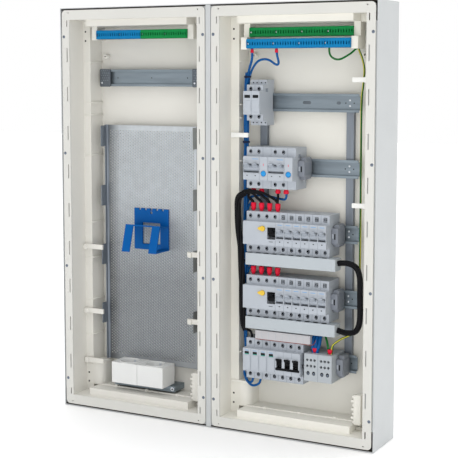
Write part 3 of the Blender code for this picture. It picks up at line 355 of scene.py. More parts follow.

# %% [markdown]
# Each finish has the colour that the piece shows in even light. The mounting plate's colour is painted
# darker towards its lower and its left end: painted shade, where the tub's walls keep the light off.

# %% Finishes of the board
PLATE_FOOT_SHADE = (-0.15, 0.03, 0.52)
PLATE_LEFT_SHADE = (-0.2800, -0.2520, 0.40)
powder_coat = finish("white_powder_coat", (186, 189, 190), 0.42, spread=0.02, grain=0.10, grain_scale=900)
cream = finish("cream_tub_plastic", (229, 227, 219), 0.5, spread=0.025, drift=6.0)
zinc = finish("zinc_steel", (130, 141, 149), 0.42, metal=0.75, spread=0.12, drift=18.0,
              stretch=(0.6, 6.0, 6.0), grain=0.05, rough_spread=0.12)
zinc_upright = finish("zinc_upright_steel", (130, 137, 146), 0.45, metal=0.7, spread=0.10, drift=18.0,
                      stretch=(6.0, 6.0, 0.6), grain=0.05, rough_spread=0.12)
dark_zinc = finish("dark_zinc_bracket", (98, 105, 112), 0.5, metal=0.7, spread=0.12, drift=60.0)
bright_zinc = finish("bright_zinc_rivet", (219, 223, 229), 0.3, metal=0.8, spread=0.05, drift=200.0)
galvanised = finish("galvanised_plate", (188, 193, 197), 0.42, metal=0.55, spread=0.07, drift=70.0,
                    grain=0.04, rough_spread=0.14)
# Painted shade on the plate: darker towards its foot and its left end.
shade_along(galvanised, "Z", *PLATE_FOOT_SHADE)
shade_along(galvanised, "X", *PLATE_LEFT_SHADE)
strip_blue = finish("blue_strip_plastic", (10, 118, 172), 0.38, shine=0.10)
strip_green = finish("green_strip_plastic", (16, 130, 66), 0.38, shine=0.10)
holder_blue = finish("holder_blue_plastic", (0, 84, 154), 0.4, shine=0.10)
socket_white = finish("socket_white_plastic", (218, 219, 218), 0.25, spread=0.015, grain=0.03)
device_grey = finish("device_light_grey_plastic", (172, 178, 186), 0.45, spread=0.02)
toggle_grey = finish("toggle_grey_plastic", (156, 163, 172), 0.38, spread=0.04)
toggle_black = finish("toggle_black_plastic", (19, 20, 23), 0.45, spread=0.10, grain=0.08, shine=0.08)
button_blue = finish("button_blue_plastic", (33, 137, 203), 0.16, grain=0.02, coat=0.25, shine=0.2)
button_yellow = finish("button_yellow_plastic", (219, 183, 64), 0.35, shine=0.2)
feed_grey = finish("feed_terminal_grey_plastic", (166, 172, 177), 0.45, spread=0.02)
cover_grey = finish("busbar_cover_plastic", (174, 181, 186), 0.4, spread=0.02)
sheath_blue = finish("blue_wire_sheath", (8, 82, 144), 0.36, spread=0.10, drift=40.0, shine=0.15)
sheath_black = finish("black_wire_sheath", (20, 20, 23), 0.36, spread=0.12, drift=40.0, grain=0.06,
                      shine=0.08)
ferrule_red = finish("red_ferrule_plastic", (219, 28, 57), 0.35, shine=0.15)
stop_grey = finish("end_stop_grey_plastic", (126, 131, 140), 0.42, spread=0.04)
# Painted shade for holes, openings and slots, and the dark colour of flags and pins.
hole_shade_and_dark_marks = finish("painted_hole_shade_and_dark_marks", (21, 23, 26), 0.6, spread=0.2, drift=120.0, shine=0.1)
seam_grey = finish("module_seam", (132, 139, 148), 0.6, spread=0.08, drift=120.0)
steel_screw = finish("blued_screw_steel", (108, 117, 130), 0.35, metal=0.8, spread=0.12, drift=300.0)
tie_navy = finish("cable_tie_nylon", (15, 28, 59), 0.4, shine=0.2)
clip_white = finish("cable_clip_nylon", (240, 240, 237), 0.4, spread=0.02)
line_brown = finish("busbar_edge_brown", (126, 59, 55), 0.45)
window_dark = finish("indicator_window", (17, 21, 24), 0.15, grain=0.02, shine=0.25)
window_green = finish("indicator_green", (35, 146, 126), 0.3, shine=0.2)
frame_grey = finish("toggle_frame_plastic", (172, 178, 186), 0.42, spread=0.03)
mark_blue = finish("plain_mark_ink", (108, 159, 205), 0.5)
# Painted shade for the shadow gap round the flange.
gap_shade_dark = finish("painted_gap_shade", (46, 40, 36), 0.6, shine=0.1)
comb_white = finish("comb_busbar_plastic", (180, 179, 182), 0.4, spread=0.02)
sheath_green = finish("green_wire_sheath", (19, 103, 41), 0.38, shine=0.15)
print("finishes", len(bpy.data.materials))

# %% [markdown]
# The tubs are cream mouldings. Their flange is painted greyer than the inside: painted light and shade, so
# that the shaded inside reads nearly as light as the front. Depth tells the two apart, so the tone reads the
# Object Y coordinate. The left tub's inside is painted a shade darker than the right one's: painted shade,
# as the left field lies in less light. A second tone reads the X coordinate.

# %% Painted shade on the flange and the left tub
FLANGE_PAINTED_SHADE = (0.79, 0.80, 0.82, 1.0)
LEFT_TUB_PAINTED_SHADE = (0.90, 0.90, 0.91, 1.0)
PLAIN = (1.0, 1.0, 1.0, 1.0)
FIELD_SPLIT = (-0.001, 0.001)
FLANGE_DEPTH = (-0.1085, -0.1030)
COLOURS = {"data_type": "RGBA"}
tree = cream.node_tree
inner = add_node(tree, "Mix", COLOURS, A=LEFT_TUB_PAINTED_SHADE, B=PLAIN)
tone = add_node(tree, "Mix", COLOURS, A=FLANGE_PAINTED_SHADE)
tree.links.new(axis_share(tree, object_place(tree), "X", *FIELD_SPLIT), inner.inputs["Factor"])
tree.links.new(axis_share(tree, object_place(tree), "Y", *FLANGE_DEPTH), tone.inputs["Factor"])
tree.links.new(inner.outputs["Result"], tone.inputs["B"])
tree.links.new(tone.outputs["Result"], mix_in(cream, "MULTIPLY").inputs["B"])
print("flange tone", FLANGE_PAINTED_SHADE[:3])

# %% [markdown]
# The earth wires are green with two yellow stripes. The stripe follows the sheath, so it reads the tube's
# own surface map: the map's first number runs once round the wire, and a wave of it picks the colour.

# %% Striped sheath
HALF_WAVE = 0.25
STRIPE_FROM = 0.155
STRIPE_TO = 0.170


def striped_sheath(name, green, yellow, rough):
    """Two yellow bands round a green sheath: a triangle wave of the round-the-wire value, cut at a level."""
    made = finish(name, green, rough, shine=0.15)
    tree = made.node_tree
    surface = add_node(tree, "UVMap", {"uv_map": "surface"})
    split = add_node(tree, "SeparateXYZ")
    wave = add_node(tree, "Math", {"operation": "PINGPONG"})
    wave.inputs[1].default_value = HALF_WAVE
    level = add_node(tree, "MapRange", From_Min=STRIPE_FROM, From_Max=STRIPE_TO)
    mix = mix_in(made)
    mix.inputs["B"].default_value = (*linear(*yellow), 1.0)
    tree.links.new(surface.outputs["UV"], split.inputs["Vector"])
    tree.links.new(split.outputs["X"], wave.inputs[0])
    tree.links.new(wave.outputs["Value"], level.inputs["Value"])
    tree.links.new(level.outputs["Result"], mix.inputs["Factor"])
    return made


sheath_earth = striped_sheath("earth_wire_sheath", (22, 88, 34), (196, 186, 70), 0.38)
print("striped sheath ready")

# %% [markdown]
# Most CAD nodes have the right shape already and only need their finish. Their edges are as sharp as a
# drawing, which no moulded or folded piece is, so live modifiers weld the loose triangles, join flat
# ones, and round the edges a little. The mesh itself stays as it was packed.

# %% Dress the CAD nodes
WELD_DISTANCE = 1e-5
FLAT_ANGLE = math.radians(1.0)
EDGE_ANGLE = math.radians(30.0)


def dress(name, surface, round_by):
    """Gives a CAD node its finish and, where asked, small rounded edges made by modifiers."""
    node = nodes[name]
    node.material_slots[0].material = surface
    if round_by:
        weld = node.modifiers.new("weld", "WELD")
        weld.merge_threshold = WELD_DISTANCE
        flat = node.modifiers.new("flat", "DECIMATE")
        flat.decimate_type = "DISSOLVE"
        flat.angle_limit = FLAT_ANGLE
        bevel = node.modifiers.new("edge", "BEVEL")
        bevel.width = round_by
        bevel.segments = 2
        bevel.limit_method = "ANGLE"
        bevel.angle_limit = EDGE_ANGLE
        normal = node.modifiers.new("shade", "WEIGHTED_NORMAL")
        normal.keep_sharp = False


COATS = (("housing centre_post", powder_coat, 0.0006),
         ("left_tub right_tub", cream, 0.0008),
         ("rail_* left_rail socket_rail", zinc, 0.0003),
         ("upright_*", zinc_upright, 0.0004),
         ("mcb_toggle_* rcbo_*_toggle", toggle_grey, 0.0004),
         ("rcd_*_toggle main_switch_toggle", toggle_black, 0.0004),
         ("rcd_*_button", button_yellow, 0.0004),
         ("rcbo_*_button", button_blue, 0.0),
         ("contactor surge_arrester main_switch rcbo_1 rcbo_2 rcd_3 rcd_4 mcb_bank_*", device_grey, 0.0005),
         ("busbar_cover_*", cover_grey, 0.0006),
         ("socket_1 socket_2", socket_white, 0.0012),
         ("feed_terminals", feed_grey, 0.0005),
         ("comb_busbar", comb_white, 0.0004),
         ("device_holder", holder_blue, 0.0005))
for patterns, surface, round_by in COATS:
    for name in nodes:
        if any(fnmatch(name, pattern) for pattern in patterns.split()):
            dress(name, surface, round_by)
print("dressed", sum(bool(node.modifiers) for node in nodes.values()), "nodes")

# %% [markdown]
# The mounting plate is a perforated sheet. Its holes stand in rows that are offset by half a pitch. One
# cell is a rectangle with an eight-sided hole: four rings of eight points join its front edge, the hole's
# front rim, the hole's back rim and the back edge. The cell is copied over the field as one array, and
# merging the doubles makes one sheet of it. The folded sides are low strips of sheet carried upwards, and
# four deeper lugs stand on each of them, one to a rail pitch.

# %% Perforated mounting plate
PITCH_X = 0.0084
PITCH_Z = 0.0030
HOLE_WIDE = 0.0030
HOLE_HIGH = 0.0026
COLUMNS = 25
PLATE_BORDER = 0.0105
PLATE_SHEET = 0.0015
FOLD_R = 0.003
FOLD_REACH = 0.006
LUG_HIGH = 0.0435
LUG_IN = 0.0015
LUG_COUNT = 4
LUG_LAP = 0.001
SLIVER = 1e-5
PLATE_LAP = 1e-4
RIM = np.array([(-1, -1), (0, -1), (1, -1), (1, 0), (1, 1), (0, 1), (-1, 1), (-1, 0), (-1, -1)]) / 2
RIM_TURN = np.radians([-135, -90, -45, 0, 45, 90, 135, 180, 225])


def middle_of(name):
    """Middle of a CAD node's box: half the sum of its two corners."""
    low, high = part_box(name)
    return (np.array(low) + np.array(high)) / 2


def pierced_cell(width, height, hole_wide, hole_high, front, back, square=False):
    """Ring from a rectangle's edge in to an oval or square hole, back through the sheet and out again."""
    outer = RIM * (width, height)
    inner = np.stack([hole_wide * np.cos(RIM_TURN), hole_high * np.sin(RIM_TURN)], 1) / 2
    if square:
        inner = RIM * (hole_wide, hole_high)
    rings = np.stack([outer, inner, inner, outer])
    depth = np.array([front, front, back, back])[:, None] * np.ones(9)
    return lay(rings[..., 0], rings[..., 1], depth, "Y")


plate_low, plate_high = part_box("mounting_plate")
plate_x = middle_of("mounting_plate")[0]
plate_half = (plate_high.x - plate_low.x) / 2
web_back = plate_high.y
web_front = web_back - PLATE_SHEET
web_middle = (web_front + web_back) / 2
field_half = COLUMNS * PITCH_X / 2
field_top = plate_high.z - PLATE_BORDER
hole_rows = int((field_top - plate_low.z - PLATE_BORDER) / PITCH_Z)
field_low = field_top - hole_rows * PITCH_Z
cell = pierced_cell(PITCH_X, PITCH_Z, HOLE_WIDE, HOLE_HIGH, web_front, web_back)
even = np.stack(np.meshgrid(np.arange(COLUMNS) + 0.5, np.arange(0, hole_rows, 2) + 0.5), -1).reshape(-1, 2)
odd = np.stack(np.meshgrid(np.arange(1, COLUMNS), np.arange(1, hole_rows, 2) + 0.5), -1).reshape(-1, 2)
spots = np.concatenate([even, odd])
hole_places = np.zeros((len(spots), 3))
hole_places[:, 0] = plate_x - field_half + spots[:, 0] * PITCH_X
hole_places[:, 2] = field_top - spots[:, 1] * PITCH_Z
odd_levels = field_top - (np.arange(1, hole_rows, 2) + 0.5) * PITCH_Z
stub = lay(np.array([[-1, 1], [-1, 1]]) * PITCH_X / 4, np.array([[-1, -1], [1, 1]]) * PITCH_Z / 2,
           np.full((2, 2), web_front), "Y")
stub_places = np.array([(plate_x + side * (field_half - PITCH_X / 4), 0.0, level)
                        for level in odd_levels for side in (-1, 1)])
plate = [copies(cell, hole_places), copies(stub, stub_places),
         copies(stub + (0, PLATE_SHEET, 0), stub_places)]
fold_tip = web_front - FOLD_REACH
rail_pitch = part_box("rail_1")[1].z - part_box("rail_2")[1].z
lug_tops = plate_high.z - LUG_IN - rail_pitch * np.arange(LUG_COUNT)
folds = []
for side in (-1, 1):
    outer_x = plate_x + side * (plate_half - PLATE_SHEET / 2)
    path = [(plate_x + side * (field_half - SLIVER), web_middle)]
    path += [(outer_x - side * FOLD_R * (1 - np.sin(a)), web_middle - FOLD_R * (1 - np.cos(a)))
             for a in np.linspace(0, np.pi / 2, 6)]
    path += [(outer_x, fold_tip)]
    lugs = [block((outer_x - PLATE_SHEET / 2, plate_low.y, top - LUG_HIGH),
                  (outer_x + PLATE_SHEET / 2, fold_tip + LUG_LAP, top), 0.0020, 0.0003, "X")
            for top in lug_tops]
    folds.append(strip(path, PLATE_SHEET, "Z", (plate_low.z, plate_high.z)) + lugs)
for low_z, high_z in ((plate_low.z, field_low), (field_top, plate_high.z)):
    plate.append(block((plate_x - field_half - PLATE_LAP, web_front, low_z + SLIVER),
                       (plate_x + field_half + PLATE_LAP, web_back, high_z - SLIVER), 0.0003, 0.0002))
put_piece("perforated_plate", plate, galvanised, replaces=["mounting_plate"])
# The left fold, the plate's own sheet, gets the darker upright steel: painted shade from the tub's wall.
put_piece("plate_left_fold", folds[0], zinc_upright)
put_piece("plate_right_fold", folds[1], galvanised)
print("plate holes", len(spots))

# %% [markdown]
# A terminal strip is a row of clamps in a plastic body. Its front is a panel of the same pierced cells:
# in each block one round clamp opening comes first and a row of narrow slots follows. A plain rounded
# block stands behind the panel and closes the openings.

# %% Terminal strips
CELLS_PER_BLOCK = 10
PANEL = 0.005
CLAMP_HOLE = (0.0048, 0.0076)
SLOT_HOLE = (0.0025, 0.0078)
STRIP_WALL = 0.0022
CLAMP_SCREW = [(0, -0.0004), (0.0012, -0.0003), (0.0018, 0.0002), (0.0018, 0.002), (0, 0.002)]


def terminal_strip(name, surface, blocks, screw):
    """Front of pierced cells, an edge wall round them and a rounded block behind."""
    low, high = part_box(name + "_strip")
    count = blocks * CELLS_PER_BLOCK
    width = (high.x - low.x) / count
    height = high.z - low.z - 0.001
    index = np.arange(count)
    clamp = index % CELLS_PER_BLOCK == 0
    middle = (low.z + high.z) / 2
    places = lay(low.x + (index + 0.5) * width, middle, 0.0, "Y")
    grids = [copies(pierced_cell(width, height, *hole, low.y, low.y + PANEL)[:3], places[mask])
             for mask, hole in ((clamp, CLAMP_HOLE), (~clamp, SLOT_HOLE))]
    for front, bottom, top in ((low.y + 0.001, low.z, low.z + STRIP_WALL),
                               (low.y + 0.001, high.z - STRIP_WALL, high.z), (low.y + PANEL, low.z, high.z)):
        grids.append(block((low.x, front, bottom), (high.x, high.y, top), 0.0008, 0.0005))
    for start, end in ((low.x, low.x + 0.001), (high.x - 0.001, high.x)):
        grids.append(block((start, low.y, low.z), (end, high.y, high.z), 0.002, 0.0004, "X"))
    for split in np.linspace(low.x, high.x, blocks + 1)[1:-1]:
        grids.append(panel(split, middle, 0.0018, high.z - low.z, low.y - 0.0006, low.y + 0.004,
                           0.0008, 0.0004))
    put_piece(name + "_terminals", grids, surface, replaces=[name + "_strip"])
    screw_places = places[clamp] + (0, low.y + 0.0025, 0)
    put_piece(name + "_terminals_screws", [turned(CLAMP_SCREW, screw_places)], screw)


for name, surface, slot, blocks, screw in (
        ("left_neutral", strip_blue, "blue_strip_plastic", 2, steel_screw),
        ("left_earth", strip_green, "green_strip_plastic", 2, steel_screw),
        ("right_earth", strip_green, "green_strip_plastic", 4, bright_zinc),
        ("right_neutral", strip_blue, "blue_strip_plastic", 4, bright_zinc)):
    terminal_strip(name, surface, blocks, screw)
print("terminal strips ready")

# %% [markdown]
# The wires are round sheaths carried along smooth curves through a few chosen points. A group of wires
# that is tied together is several tubes: each one keeps its own place in the round of the bundle and
# slowly turns about the middle line, as hand-laid wires do.

# %% Wire helpers
def strand(path, away, phase, turn_length=0.35):
    """A path's points moved sideways by a radius whose direction turns once in each turn length."""
    one, two, far = path_frame(path)
    turn = phase + 2 * np.pi * far / turn_length
    return path + away * (one * np.cos(turn)[:, None] + two * np.sin(turn)[:, None])


def wire(knots, radius, sides=10, twist=0.0):
    """A tube of one wire along the smooth curve through its knots."""
    return tube(smooth_path(knots), radius, sides, twist)


def length_of(knots):
    """Length of the smooth curve through the knots, in metres to the millimetre."""
    return round(float(path_frame(smooth_path(knots))[2][-1]), 3)


MODULE = 0.0175
CLAMP_Y = -0.066
STRIP_Y = -0.068
WIRE_R = 0.0024
THIN_WIRE_R = 0.0022
LINE_WIRE_R = 0.0027
devices_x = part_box("rcd_3")[0].x
rows = [middle_of(f"rail_{row}")[2] for row in range(1, 6)]
row_1, row_2, row_3, row_4, row_5 = rows
neutral_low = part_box("right_neutral_strip")[0].z
strip_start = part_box("right_neutral_strip")[0].x
poles = devices_x + (np.arange(10) + 0.5) * MODULE
print("rows", np.round(rows, 4))

# %% [markdown]
# The neutral wires are blue. Four of them run down the left side as one trunk, two of these stop at the
# middle rows and two bend under the lowest devices. Single wires join the trunk from the terminal strip
# and from the rows, and three thick ones end in the feed terminals.

# %% Blue neutral wires
TRUNK_R = 0.0030
FEED_WIRE_R = 0.0034
BEND_POINTS = 12
trunk_knots = [(0.0625, -0.061, 0.284), (0.0575, -0.056, 0.250), (0.0555, -0.054, 0.150),
               (0.055, -0.054, 0.0), (0.055, -0.054, -0.150), (0.055, -0.055, -0.270),
               (0.0565, -0.057, -0.312)]
trunk = smooth_path(trunk_knots)
first_clamp = strip_start + 0.0075
second_clamp = strip_start + 0.0595
blue = []
for phase, stop in ((135, row_3 + 0.034), (315, row_4 + 0.034)):
    line = strand(trunk, TRUNK_R, math.radians(phase))
    blue.append(tube(line[line[:, 2] > stop], WIRE_R))
for phase, tail in ((45, [(0.0600, -0.060, -0.322), (0.0680, -0.064, -0.3275),
                          (0.0755, CLAMP_Y, -0.3230), (poles[0], CLAMP_Y, row_5 - 0.041)]),
                    (225, [(0.0612, -0.0605, -0.3255), (0.0760, -0.0655, -0.3320),
                           (0.0900, -0.0665, -0.3265), (poles[1], CLAMP_Y, row_5 - 0.041)])):
    line = strand(trunk, TRUNK_R, math.radians(phase))
    bend = smooth_path([line[-BEND_POINTS], line[-BEND_POINTS // 2], line[-1], *tail])
    blue.append(tube(np.concatenate([line[:-BEND_POINTS], bend]), WIRE_R))
blue.append(wire([(first_clamp, STRIP_Y, neutral_low), (first_clamp, STRIP_Y, neutral_low - 0.010),
                  (0.0735, -0.067, 0.308), (0.0665, -0.063, 0.292), (0.0615, -0.060, 0.276)], WIRE_R))
blue.append(wire([(second_clamp, STRIP_Y, neutral_low), (second_clamp + 0.001, STRIP_Y, neutral_low - 0.012),
                  (0.1305, CLAMP_Y, 0.3045), (0.1285, CLAMP_Y, 0.2995), (0.1225, CLAMP_Y, 0.3010),
                  (0.112, CLAMP_Y, 0.3075), (0.0998, CLAMP_Y, 0.3100), (0.086, -0.065, 0.3060),
                  (0.0745, -0.063, 0.294), (0.0655, -0.060, 0.278)], THIN_WIRE_R))
blue.append(wire([(poles[4], CLAMP_Y, row_2 - 0.046), (poles[4] + 0.001, -0.067, row_2 - 0.054),
                  (0.1440, -0.064, row_2 - 0.0605), (0.130, -0.058, row_2 - 0.0605),
                  (0.095, -0.050, row_2 - 0.057), (0.066, -0.050, row_2 - 0.060), (0.057, -0.053, 0.030)],
                 THIN_WIRE_R))
for row in (row_3, row_4):
    blue.append(wire([(poles[0], -0.064, row + 0.048), (0.0745, -0.062, row + 0.056),
                      (0.066, -0.057, row + 0.052), (0.058, -0.054, row + 0.038)], THIN_WIRE_R))
for x in (0.2085, 0.2155, 0.2225):
    blue.append(wire([(0.5 * x + 0.1075, -0.076, row_5 + 0.0250), (0.6 * x + 0.0860, -0.076, row_5 + 0.0310),
                      (x, -0.074, row_5 + 0.0400), (x, -0.069, row_5 + 0.0520),
                      (x - 0.001, -0.060, row_5 + 0.0600), (x - 0.002, -0.050, row_5 + 0.0640)],
                     FEED_WIRE_R, 12))
put_piece("blue_wires", blue, sheath_blue, replaces=["blue_trunk"])
print("blue trunk runs", length_of(trunk_knots), "m")

# %% [markdown]
# The line wires are black. Five lie side by side in a bundle that leaves the top of the third row, passes
# the fourth and ends at the fifth. A loop of three stiff wires at the right joins the two busbars.

# %% Black line wires
BUNDLE_R = 0.0040
LOOP_R = 0.0029
LOOP_WIRE_R = 0.0031
LOOP_TURN = 9.0
bundle_knots = [(0.0665, -0.0805, 0.0525), (0.0550, -0.084, 0.0430), (0.0525, -0.085, 0.0200),
                (0.0540, -0.084, -0.0150), (0.0575, -0.081, -0.0600), (0.0590, -0.080, -0.1050),
                (0.0597, -0.079, -0.1500), (0.0600, -0.078, -0.1900), (0.0620, -0.0765, -0.2090),
                (0.0660, -0.0745, -0.2185)]
bundle = smooth_path(bundle_knots)
black = [tube(strand(bundle, BUNDLE_R, phase), LINE_WIRE_R) for phase in np.radians([0, 72, 144, 216, 288])]
for number, start in enumerate(poles[:4]):
    rise = row_3 + 0.0012 * number
    black.append(wire([(start, CLAMP_Y, row_3 + 0.050), (start - 0.001, -0.067, row_3 + 0.058),
                       (start - 0.008, -0.072, row_3 + 0.0665), (0.5 * start + 0.0335, -0.077, rise + 0.0735),
                       (0.0665, -0.0825 + 0.0015 * number, rise + 0.0757),
                       (0.0560, -0.083, row_3 + 0.0705)], LINE_WIRE_R))
black.append(wire([(poles[3], CLAMP_Y, row_2 - 0.047), (poles[3] + 0.001, STRIP_Y, row_2 - 0.058),
                   (poles[3], STRIP_Y, row_3 + 0.056), (poles[3], CLAMP_Y, row_3 + 0.046)], WIRE_R))
black.append(wire([(0.0660, -0.0745, -0.2185), (0.0745, -0.0725, -0.2215), (poles[0], -0.072, -0.2290),
                   (poles[0], -0.072, row_5 + 0.0405)], WIRE_R))
put_piece("black_line_wires", black, sheath_black, replaces=["black_bundle"])
loop_knots = [(0.2585, -0.0755, row_3 - 0.0490), (0.2790, -0.0755, row_3 - 0.0475),
              (0.2960, -0.0745, row_3 - 0.0545), (0.3035, -0.0730, row_3 - 0.0740),
              (0.3045, -0.0730, (row_3 + row_4) / 2 - 0.052), (0.3040, -0.0730, row_4 - 0.0320),
              (0.2965, -0.0745, row_4 - 0.0515), (0.2790, -0.0755, row_4 - 0.0560),
              (0.2585, -0.0755, row_4 - 0.0525)]
loop = smooth_path(loop_knots)
loop_wires = [tube(strand(loop, LOOP_R, phase, LOOP_TURN), LOOP_WIRE_R, 12)
              for phase in np.radians([60, 180, 300])]
put_piece("black_loop_wires", loop_wires, sheath_black, replaces=["black_loop"])
print("black bundle", length_of(bundle_knots), "m, loop", length_of(loop_knots), "m")

# %% [markdown]
# The earth wire is green with yellow stripes. It hangs from the top strip, runs down the right side behind
# the clips and ends in a feed terminal. Two plain green wires are short links.

# %% Earth wires
EARTH_R = 0.0020
LINK_R = 0.0019
EARTH_TWIST = 5.2
earth_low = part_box("right_earth_strip")[0].z
earth_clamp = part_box("right_earth_strip")[1].x - 0.0058
feed_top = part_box("feed_terminals")[1].z
earth_knots = [(earth_clamp, -0.050, earth_low + 0.001), (earth_clamp + 0.0050, -0.048, earth_low - 0.014),
               (0.2925, -0.046, 0.312), (0.2975, -0.046, 0.290), (0.297, -0.049, 0.262),
               (0.295, -0.052, 0.225), (0.295, -0.052, 0.100), (0.295, -0.052, -0.050),
               (0.2935, -0.052, -0.170), (0.2850, -0.056, -0.205), (0.2630, -0.066, -0.2195),
               (0.2510, -0.073, -0.230), (0.2490, -0.075, -0.2399), (0.2490, -0.075, feed_top)]
link_clamp = strip_start + 0.1685
carrier_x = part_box("right_neutral_strip")[1].x + 0.0068
link_knots = [(link_clamp, STRIP_Y, neutral_low + 0.001), (link_clamp, STRIP_Y, neutral_low - 0.008),
              (link_clamp + 0.004, STRIP_Y, neutral_low - 0.0165),
              (link_clamp + 0.013, -0.067, neutral_low - 0.0215),
              (link_clamp + 0.024, -0.066, neutral_low - 0.0205),
              (carrier_x - 0.012, -0.063, neutral_low - 0.0105),
              (carrier_x - 0.004, -0.062, neutral_low - 0.0035), (carrier_x, -0.062, neutral_low - 0.0015)]
green_knots = [(0.2420, -0.075, feed_top), (0.2415, -0.075, feed_top + 0.010),
               (0.2370, -0.071, feed_top + 0.024), (0.2280, -0.062, feed_top + 0.035),
               (0.2200, -0.055, feed_top + 0.041)]
put_piece("earth_wires", [wire(earth_knots, EARTH_R, 12, EARTH_TWIST)], sheath_earth,
          replaces=["earth_wire"])
put_piece("green_wires", [wire(link_knots, LINK_R), wire(green_knots, EARTH_R)], sheath_green,
          replaces=["earth_link"])
print("earth wire", length_of(earth_knots), "m, link", length_of(link_knots), "m")

# %% [markdown]
# Each stranded wire end is pressed into a ferrule with a red plastic collar, which flares away from the
# terminal. The collar is a profile turned about the wire. Collars under a device hang down, those over a
# device stand up, so the same profile is turned over by its sign. Navy ties hold the trunk together, and
# white saddle clips hold the long runs to the tub's walls.

# %% Ferrules
COLLAR = np.array([(0, 0), (0.0030, 0), (0.0036, 0.0012), (0.0046, 0.0045), (0.0052, 0.0085),
                   (0.0052, 0.0142), (0.0046, 0.0150), (0.0026, 0.0150), (0.0022, 0.0120), (0, 0.0120)])
over = [(x, CLAMP_Y, row + 0.0402) for row in (row_3, row_4) for x in poles[:4]]
under = [(x, CLAMP_Y, row_2 - 0.0402) for x in poles[[0, 1, 3, 4]]]
feeds = [(0.2150, -0.076, feed_top + 0.0002), (0.2455, -0.075, feed_top + 0.0002)]
collars = [turned(COLLAR * (1.0, stretch), places, "Z", 14)
           for places, stretch in ((over, 1.05), (under, -0.62), (feeds, 0.6))]
put_piece("ferrule_collars", collars, ferrule_red)
clamps = [(x, STRIP_Y, neutral_low) for x in (first_clamp, second_clamp)]
put_piece("strip_ferrules", [turned(COLLAR * (0.62, -0.55), clamps, "Z", 12)], ferrule_red)
print("collars", len(over) + len(under) + len(feeds))

# %% Ties and clips
TIE_R = 0.0060
TIE_HALF = 0.0018
TIE_THICK = 0.0011
TIE_RING = [(TIE_R, -TIE_HALF), (TIE_R + TIE_THICK, -TIE_HALF * 0.8), (TIE_R + TIE_THICK, TIE_HALF * 0.8),
            (TIE_R, TIE_HALF), (TIE_R - 0.0004, 0), (TIE_R, -TIE_HALF)]
ties_at = [(0.0612, -0.0598, 0.2762), (0.0555, -0.0540, 0.1494), (0.0550, -0.0540, -0.0850)]
ties = [turned(TIE_RING, ties_at, "Z", 20)]
ties += [panel(x, z, 0.0044, 0.0052, y - 0.0095, y - 0.0058, 0.0008, 0.0005) for x, y, z in ties_at]
put_piece("cable_ties", ties, tie_navy)


def clip(low_x, high_x, y, z, wall):
    """Saddle clip: a bar over the wire with a lug at the wall end and a hooked free end."""
    foot, tip = (high_x - 0.003, low_x + 0.002) if wall > 0 else (low_x + 0.003, high_x - 0.002)
    return [panel((low_x + high_x) / 2, z, high_x - low_x, 0.0090, y, y + 0.003, 0.0014, 0.0006),
            panel(foot, z, 0.0056, 0.0110, y + 0.0005, y + 0.010, 0.0014, 0.0006),
            panel(tip, z, 0.0036, 0.0080, y + 0.0004, y + 0.0075, 0.0012, 0.0006)]


put_piece("wire_clips", clip(0.026, 0.0640, -0.0645, 0.163, -1) + clip(0.2785, 0.308, -0.059, 0.2712, 1)
          + clip(0.2800, 0.308, -0.059, 0.0360, 1), clip_white)
print("ties", len(ties_at))

# %% [markdown]
# The devices are one moulded outline each, so their small parts are added here: terminal openings lined
# with painted shade, with a screw at the bottom, seams between the modules, raised frames round the toggles,
# and sunk windows. Places along a row are counted in modules of 17.5 mm from the left end of the row.

# %% Terminal openings and screws
nose_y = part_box("rcd_3")[0].y
shoulder_y = nose_y + 0.016
rear_y = nose_y + 0.032
TERMINAL_Z = 0.03125
CONTACTOR_TERMINAL_Z = 0.0266
CUP = [(0, 0.0076), (0.0027, 0.0076), (0.0027, -0.0001), (0.0034, -0.00015), (0.0037, 0.0003),
       (0.0037, 0.0010)]
SCREW = [(0, 0.0042), (0.0015, 0.0042), (0.0021, 0.0047), (0.0022, 0.0065), (0, 0.0065)]
breakers = [(row, x) for row in (row_3, row_4) for x in poles[4:]]
banks = [(row_1, poles[:2], CONTACTOR_TERMINAL_Z), (row_2, poles[[0, 1, 3, 4]], TERMINAL_Z),
         (row_3, poles[:4], TERMINAL_Z), (row_4, poles[:4], TERMINAL_Z)]
rounds = [(x, shoulder_y, row + s * off) for row, places, off in banks for x in places for s in (-1, 1)]
rounds += [(x, shoulder_y, row - TERMINAL_Z) for row, x in breakers]
rounds += [(x, shoulder_y, row_5 + s * TERMINAL_Z) for x in poles[:7] for s in (-1, 1)]
# The openings' cups and the clamps' square frames are painted shade.
cup = lathe(CUP, (0, 0, 0)) * (0.94, 1.0, 1.18)
put_piece("terminal_openings", [copies(cup, rounds)], hole_shade_and_dark_marks)
put_piece("terminal_screws", [turned(SCREW, rounds)], steel_screw)
squares = [(x, shoulder_y, row + TERMINAL_Z) for row, x in breakers]
frame_hole = pierced_cell(0.0070, 0.0084, 0.0052, 0.0066, -0.0003, 0.0005, square=True)
tongue = panel(0, 0, 0.0012, 0.0060, -0.0004, 0.0010, 0.0004, 0.0002)
put_piece("clamp_frames", [copies(frame_hole, squares)], hole_shade_and_dark_marks)
put_piece("clamp_tongues", [copies(tongue, squares)], seam_grey)
print("terminal openings", len(rounds) + len(squares))

# %% [markdown]
# Two devices side by side leave a fine dark gap. It follows the stepped front of the devices, so it is a
# thin strip bent along that outline.

# %% Seams between modules
HALF_DEVICE = 0.040
HALF_NOSE = 0.0225
CONTACTOR_SHOULDER = 0.0345
CONTACTOR_HALF = 0.0440
SEAM = 0.0003


